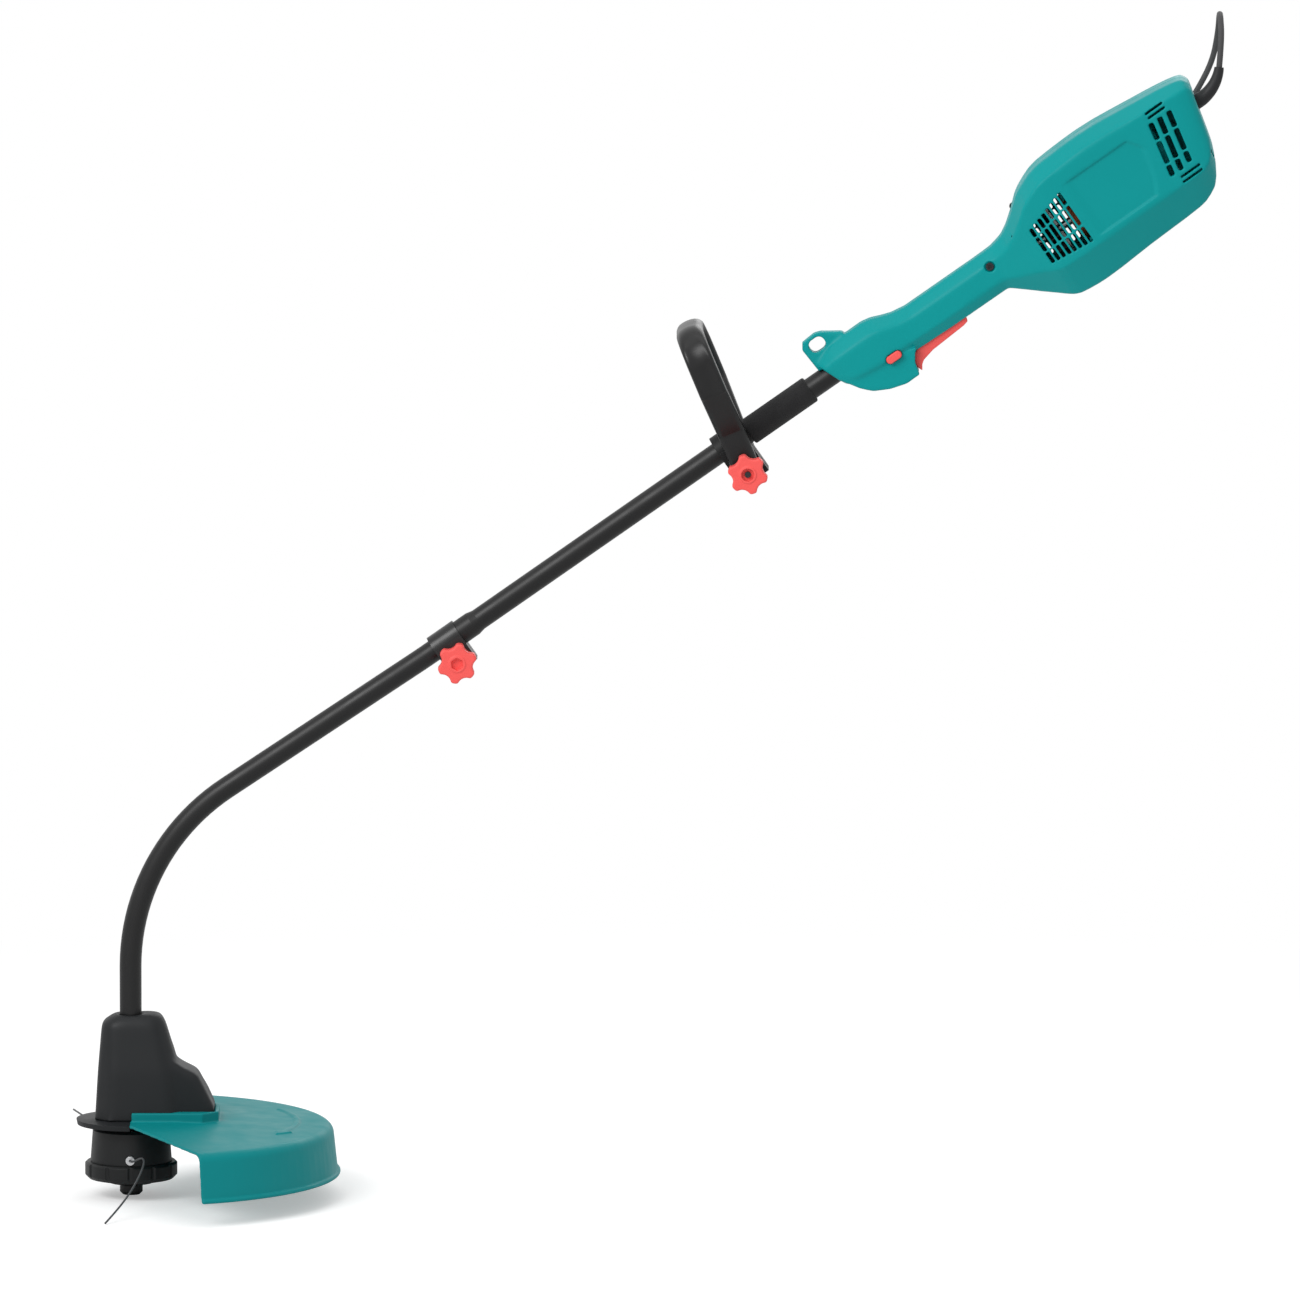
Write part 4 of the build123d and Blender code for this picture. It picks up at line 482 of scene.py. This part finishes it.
# The loop's centre line in its own plane, as millimetres from the middle and up from the foot:
# straight legs, then a round corner, then the top bar.
LOOP_LEGS = [
    ((26.8, -13.0), (26.8, 42.0)), ((26.8, 42.0), (54.0, 88.0)), ((54.0, 88.0), (54.0, 120.0)),
]
LOOP_CORNER, LOOP_CORNER_R = Vector((23.5, 120.0)), 30.5
LOOP_TOP = 150.5
FLATTEST_OVAL = 0.1               # the least squared share of the width that an edge keeps


def loop_centre(place):
    """The point of the loop's centre line that is nearest a place in the loop's own plane."""
    nearest = []
    for start, end in LOOP_LEGS:
        start, end = Vector(start), Vector(end)
        share = (place - start).dot(end - start) / (end - start).length_squared
        nearest.append(start.lerp(end, min(1.0, max(0.0, share))))
    if place.x < LOOP_CORNER.x:
        nearest.append(Vector((place.x, LOOP_TOP)))
    elif place.y > LOOP_CORNER.y:
        nearest.append(LOOP_CORNER + (place - LOOP_CORNER).normalized() * LOOP_CORNER_R)
    return min(nearest, key=lambda spot: (place - spot).length)


def rounded_loop(point):
    """A point of the loop handle moved in, so that the bar's section is an oval."""
    station, height = along_grip(point)
    forward, up = station - LOOP_FOOT[0], height - LOOP_FOOT[1]
    rise = forward * math.sin(LOOP_LEAN) + up * math.cos(LOOP_LEAN)
    depth = forward * math.cos(LOOP_LEAN) - up * math.sin(LOOP_LEAN)
    place = Vector((abs(point.y) / MM, rise))
    centre = loop_centre(place)
    oval = math.sqrt(max(FLATTEST_OVAL, 1 - (depth / LOOP_HALF_DEPTH) ** 2))
    moved = (centre - place) * (1 - oval) * loop_plainness(point)
    climb, slope = moved.y * MM, SLOPE + QUARTER - LOOP_LEAN
    outward = math.copysign(moved.x * MM, point.y)
    return point + Vector((climb * math.cos(slope), outward, climb * math.sin(slope)))


HEAD_HALVES = ("head_housing_left", "head_housing_right")
HEAD_VOXEL, HEAD_PASSES, HEAD_FURTHER = 0.9, 6, 260
# In millimetres: the height of the base, the screws' places on the far side, as x from the spindle
# and height, and how far round the screws and above the base the shape stays crisp.
HEAD_BASE, HEAD_RIM = -824.0, 1.0
HEAD_SCREWS = [(-12.0, -738.0), (36.0, -758.0), (70.0, -800.0), (-22.0, -806.0)]
HEAD_KEPT = 7.0


def head_plainness(point):
    """0 at the head housing's base and screws, rising to 1 where it may be rounded."""
    share = (point.z / MM - HEAD_BASE - HEAD_RIM) / HEAD_KEPT
    if point.y > 0:
        for x, z in HEAD_SCREWS:
            away = math.hypot((point.x - SPINDLE_X) / MM - x, point.z / MM - z)
            share = min(share, (away - HEAD_KEPT) / HEAD_KEPT)
    return min(1.0, max(0.0, share))


def applied(piece):
    """The mesh of a piece with its modifiers applied. The piece goes."""
    drawn = piece.evaluated_get(bpy.context.evaluated_depsgraph_get())
    mesh = bpy.data.meshes.new_from_object(drawn)
    bpy.data.objects.remove(piece)
    return mesh


def smoothed(piece, passes, group=""):
    """Smooth a piece everywhere, or by the weights of a vertex group."""
    soft = piece.modifiers.new("soft", "SMOOTH")
    soft.iterations = passes
    soft.factor = 0.5
    soft.vertex_group = group


def remeshed(name, mesh, voxel, passes):
    """A mesh made anew as one even skin, with its edges rounded."""
    rough = placed(name + "_rough", mesh)
    weld = rough.modifiers.new("weld", "WELD")
    weld.merge_threshold = WELD_REACH * MM
    voxels = rough.modifiers.new("voxels", "REMESH")
    voxels.mode = "VOXEL"
    voxels.voxel_size = voxel * MM
    smoothed(rough, passes)
    return applied(rough)


def softened(name, mesh, passes, measure):
    """A mesh smoothed further, by the share that a measure gives each of its points."""
    rough = placed(name + "_rough", mesh)
    group = rough.vertex_groups.new(name="plain")
    for vertex in mesh.vertices:
        group.add([vertex.index], measure(vertex.co), "REPLACE")
    smoothed(rough, passes, group.name)
    return applied(rough)


def thinned(name, mesh):
    """A mesh with no more than MOST_FACES faces."""
    if len(mesh.polygons) <= MOST_FACES:
        return mesh
    rough = placed(name + "_rough", mesh)
    rough.modifiers.new("thin", "DECIMATE").ratio = MOST_FACES / len(mesh.polygons)
    return applied(rough)


def shade_smooth(mesh):
    mesh.polygons.foreach_set("use_smooth", [True] * len(mesh.polygons))


def moulded(node, body, voxel, passes, further):
    """A copy of a CAD node with its edges softened the way a mould leaves them."""
    is_loop = node == "loop_handle"
    mesh = remeshed(node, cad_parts[node].data.copy(), voxel, passes)
    if further:
        mesh = softened(node, mesh, further, loop_plainness if is_loop else plainness)
        for vertex in mesh.vertices:
            if is_loop:
                vertex.co = rounded_loop(vertex.co)
            elif abs(vertex.co.y) > PANEL_SKIN * MM:
                vertex.co.y = sunk(vertex.co)
    mesh = thinned(node, mesh)
    piece = placed(node + "_shell", mesh)
    shade_smooth(mesh)
    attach(piece, body)
    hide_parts(node)
    return piece


def one_side(mesh, side):
    """The part of a mesh on one side of y = 0, closed where it was cut."""
    half = bmesh.new()
    half.from_mesh(mesh)
    cut = bmesh.ops.bisect_plane(half, geom=half.verts[:] + half.edges[:] + half.faces[:],
                                 plane_co=(0.0, 0.0, 0.0), plane_no=(0.0, side, 0.0),
                                 clear_inner=True)
    rims = [item for item in cut["geom_cut"] if isinstance(item, bmesh.types.BMEdge)]
    bmesh.ops.triangle_fill(half, edges=rims, use_beauty=True, normal=(0.0, -side, 0.0))
    return half


def moulded_head():
    """Both head halves rounded as one shape and then parted at the middle, so that they meet."""
    whole = bmesh.new()
    for node in HEAD_HALVES:
        whole.from_mesh(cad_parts[node].data)
    mesh = bpy.data.meshes.new("head")
    whole.to_mesh(mesh)
    whole.free()
    mesh = remeshed("head", mesh, HEAD_VOXEL, HEAD_PASSES)
    mesh = softened("head", mesh, HEAD_FURTHER, head_plainness)
    for node in HEAD_HALVES:
        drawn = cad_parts[node].data.vertices
        half = one_side(mesh, math.copysign(1.0, sum(vertex.co.y for vertex in drawn)))
        piece = placed(node + "_shell", bpy.data.meshes.new(node + "_shell"))
        half.to_mesh(piece.data)
        half.free()
        shade_smooth(piece.data)
        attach(piece, "frame")
        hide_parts(node)
        yield node, piece


# ---- spring ---------------------------------------------------------------------------
def make_spring(material):
    """The tap knob's spring: a copy of its drawn coil, riding on the cutting head in place of the
    drawn one.
    """
    coil = placed("knob_spring_coil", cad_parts["knob_spring"].data.copy())
    dress(coil, material)
    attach(coil, "cutting_head")
    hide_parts("knob_spring")
    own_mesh(coil)


# ---- light ----------------------------------------------------------------------------
# Each soft box: where it stands, its size in metres and its level.
SOFT_BOXES = {
    "key_box": ((-2.5, -2.9, 2.1), (3.0, 1.4), 0.5),
    "top_box": ((-0.3, -0.3, 3.2), (3.0, 2.0), 0.16),
    "back_box": ((0.8, 3.2, 1.4), (2.0, 2.0), 0.14),
}
AMBIENT = 0.6                     # the level at which the world lights, though it is seen at 1


def lamp(name, place, size, level):
    """A soft box. A level of 1 lights a facing surface to its own colour."""
    data = bpy.data.lights.new(name, "AREA")
    data.shape = "RECTANGLE"
    data.size, data.size_y = size
    away = Vector(place) - AIM
    data.energy = level * math.pi**2 * away.length_squared
    made = placed(name, data)
    made.location = place
    made.rotation_euler = away.to_track_quat("Z", "Y").to_euler()


def make_light():
    for name, (place, size, level) in SOFT_BOXES.items():
        lamp(name, place, size, level)
    world = bpy.data.worlds.new("studio")
    bpy.context.scene.world = world
    world.use_nodes = True
    tree = world.node_tree
    path = add_node(tree, "LightPath")
    seen = 0.0
    for ray in ("Is Camera Ray", "Is Glossy Ray", "Is Transmission Ray"):
        larger = add_node(tree, "Math", {0: path.outputs[ray], 1: seen}, operation="MAXIMUM")
        seen = larger.outputs[0]
    level = add_node(tree, "MapRange", {"Value": seen, "To Min": AMBIENT})
    background = tree.nodes["Background"]
    feed(tree, background.inputs["Strength"], level.outputs["Result"])
    feed(tree, background.inputs["Color"], (1.0, 1.0, 1.0, 1.0))


FLOOR_GAP = 0.5                   # millimetres under the object
FLOOR_REACH = 12.0                # metres, as the next reach is
FLOOR_TONE = 0.8
FLOOR_LIFT = 0.35                 # how much brighter the camera sees the floor than it is lit
SHADOW_REACH = 0.9                # from this far off its centre to twice as far it turns to white


def make_floor(height):
    """Pale floor that keeps the shadow close to the object and runs out to backdrop white."""
    ways = ((-1, -1), (1, -1), (1, 1), (-1, 1))
    corners = [(x * FLOOR_REACH, y * FLOOR_REACH, 0.0) for x, y in ways]
    mesh = bpy.data.meshes.new("floor")
    mesh.from_pydata(corners, [], [(0, 1, 2, 3)])
    floor = placed("floor", mesh)
    floor.location = (AIM.x, 0.0, height)
    material = bpy.data.materials.new("floor")
    material.use_nodes = True
    tree = material.node_tree
    tree.nodes.clear()
    by_camera = add_node(tree, "LightPath").outputs["Is Camera Ray"]
    matt = add_node(tree, "BsdfDiffuse", {"Color": (FLOOR_TONE, FLOOR_TONE, FLOOR_TONE, 1.0)})
    lift = add_node(tree, "Math", {0: by_camera, 1: FLOOR_LIFT}, operation="MULTIPLY")
    glow = add_node(tree, "Emission", {"Strength": lift.outputs[0]})
    near = add_node(tree, "AddShader", {0: matt.outputs[0], 1: glow.outputs[0]})
    white = add_node(tree, "Emission")
    place = add_node(tree, "TexCoord").outputs["Object"]
    distance = add_node(tree, "VectorMath", {0: place}, operation="LENGTH").outputs["Value"]
    reach = {"Value": distance, "From Min": SHADOW_REACH, "From Max": 2 * SHADOW_REACH}
    fade = add_node(tree, "MapRange", reach, interpolation_type="SMOOTHSTEP").outputs["Result"]
    share = add_node(tree, "Math", {0: fade, 1: by_camera}, operation="MULTIPLY").outputs[0]
    mixed = add_node(tree, "MixShader", {"Fac": share, 1: near.outputs[0], 2: white.outputs[0]})
    add_node(tree, "OutputMaterial", {"Surface": mixed.outputs[0]})
    dress(floor, material)


# ---- the scene ------------------------------------------------------------------------
make_camera()
finishes = make_finishes()
make_cords(finishes)
materials = {name: finishes[finish] for finish, names in NODE_FINISH.items() for name in names}
for name, material in materials.items():
    dress(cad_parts[name], material)
for node, (body, voxel, passes, further) in SHELLS.items():
    shell = moulded(node, body, voxel, passes, further)
    dress(shell, materials[node])
for node, shell in moulded_head():
    dress(shell, materials[node])
make_spring(materials["knob_spring"])
make_light()
make_floor(cad_box[0].z - FLOOR_GAP * MM)
bpy.context.scene.view_settings.view_transform = "Standard"
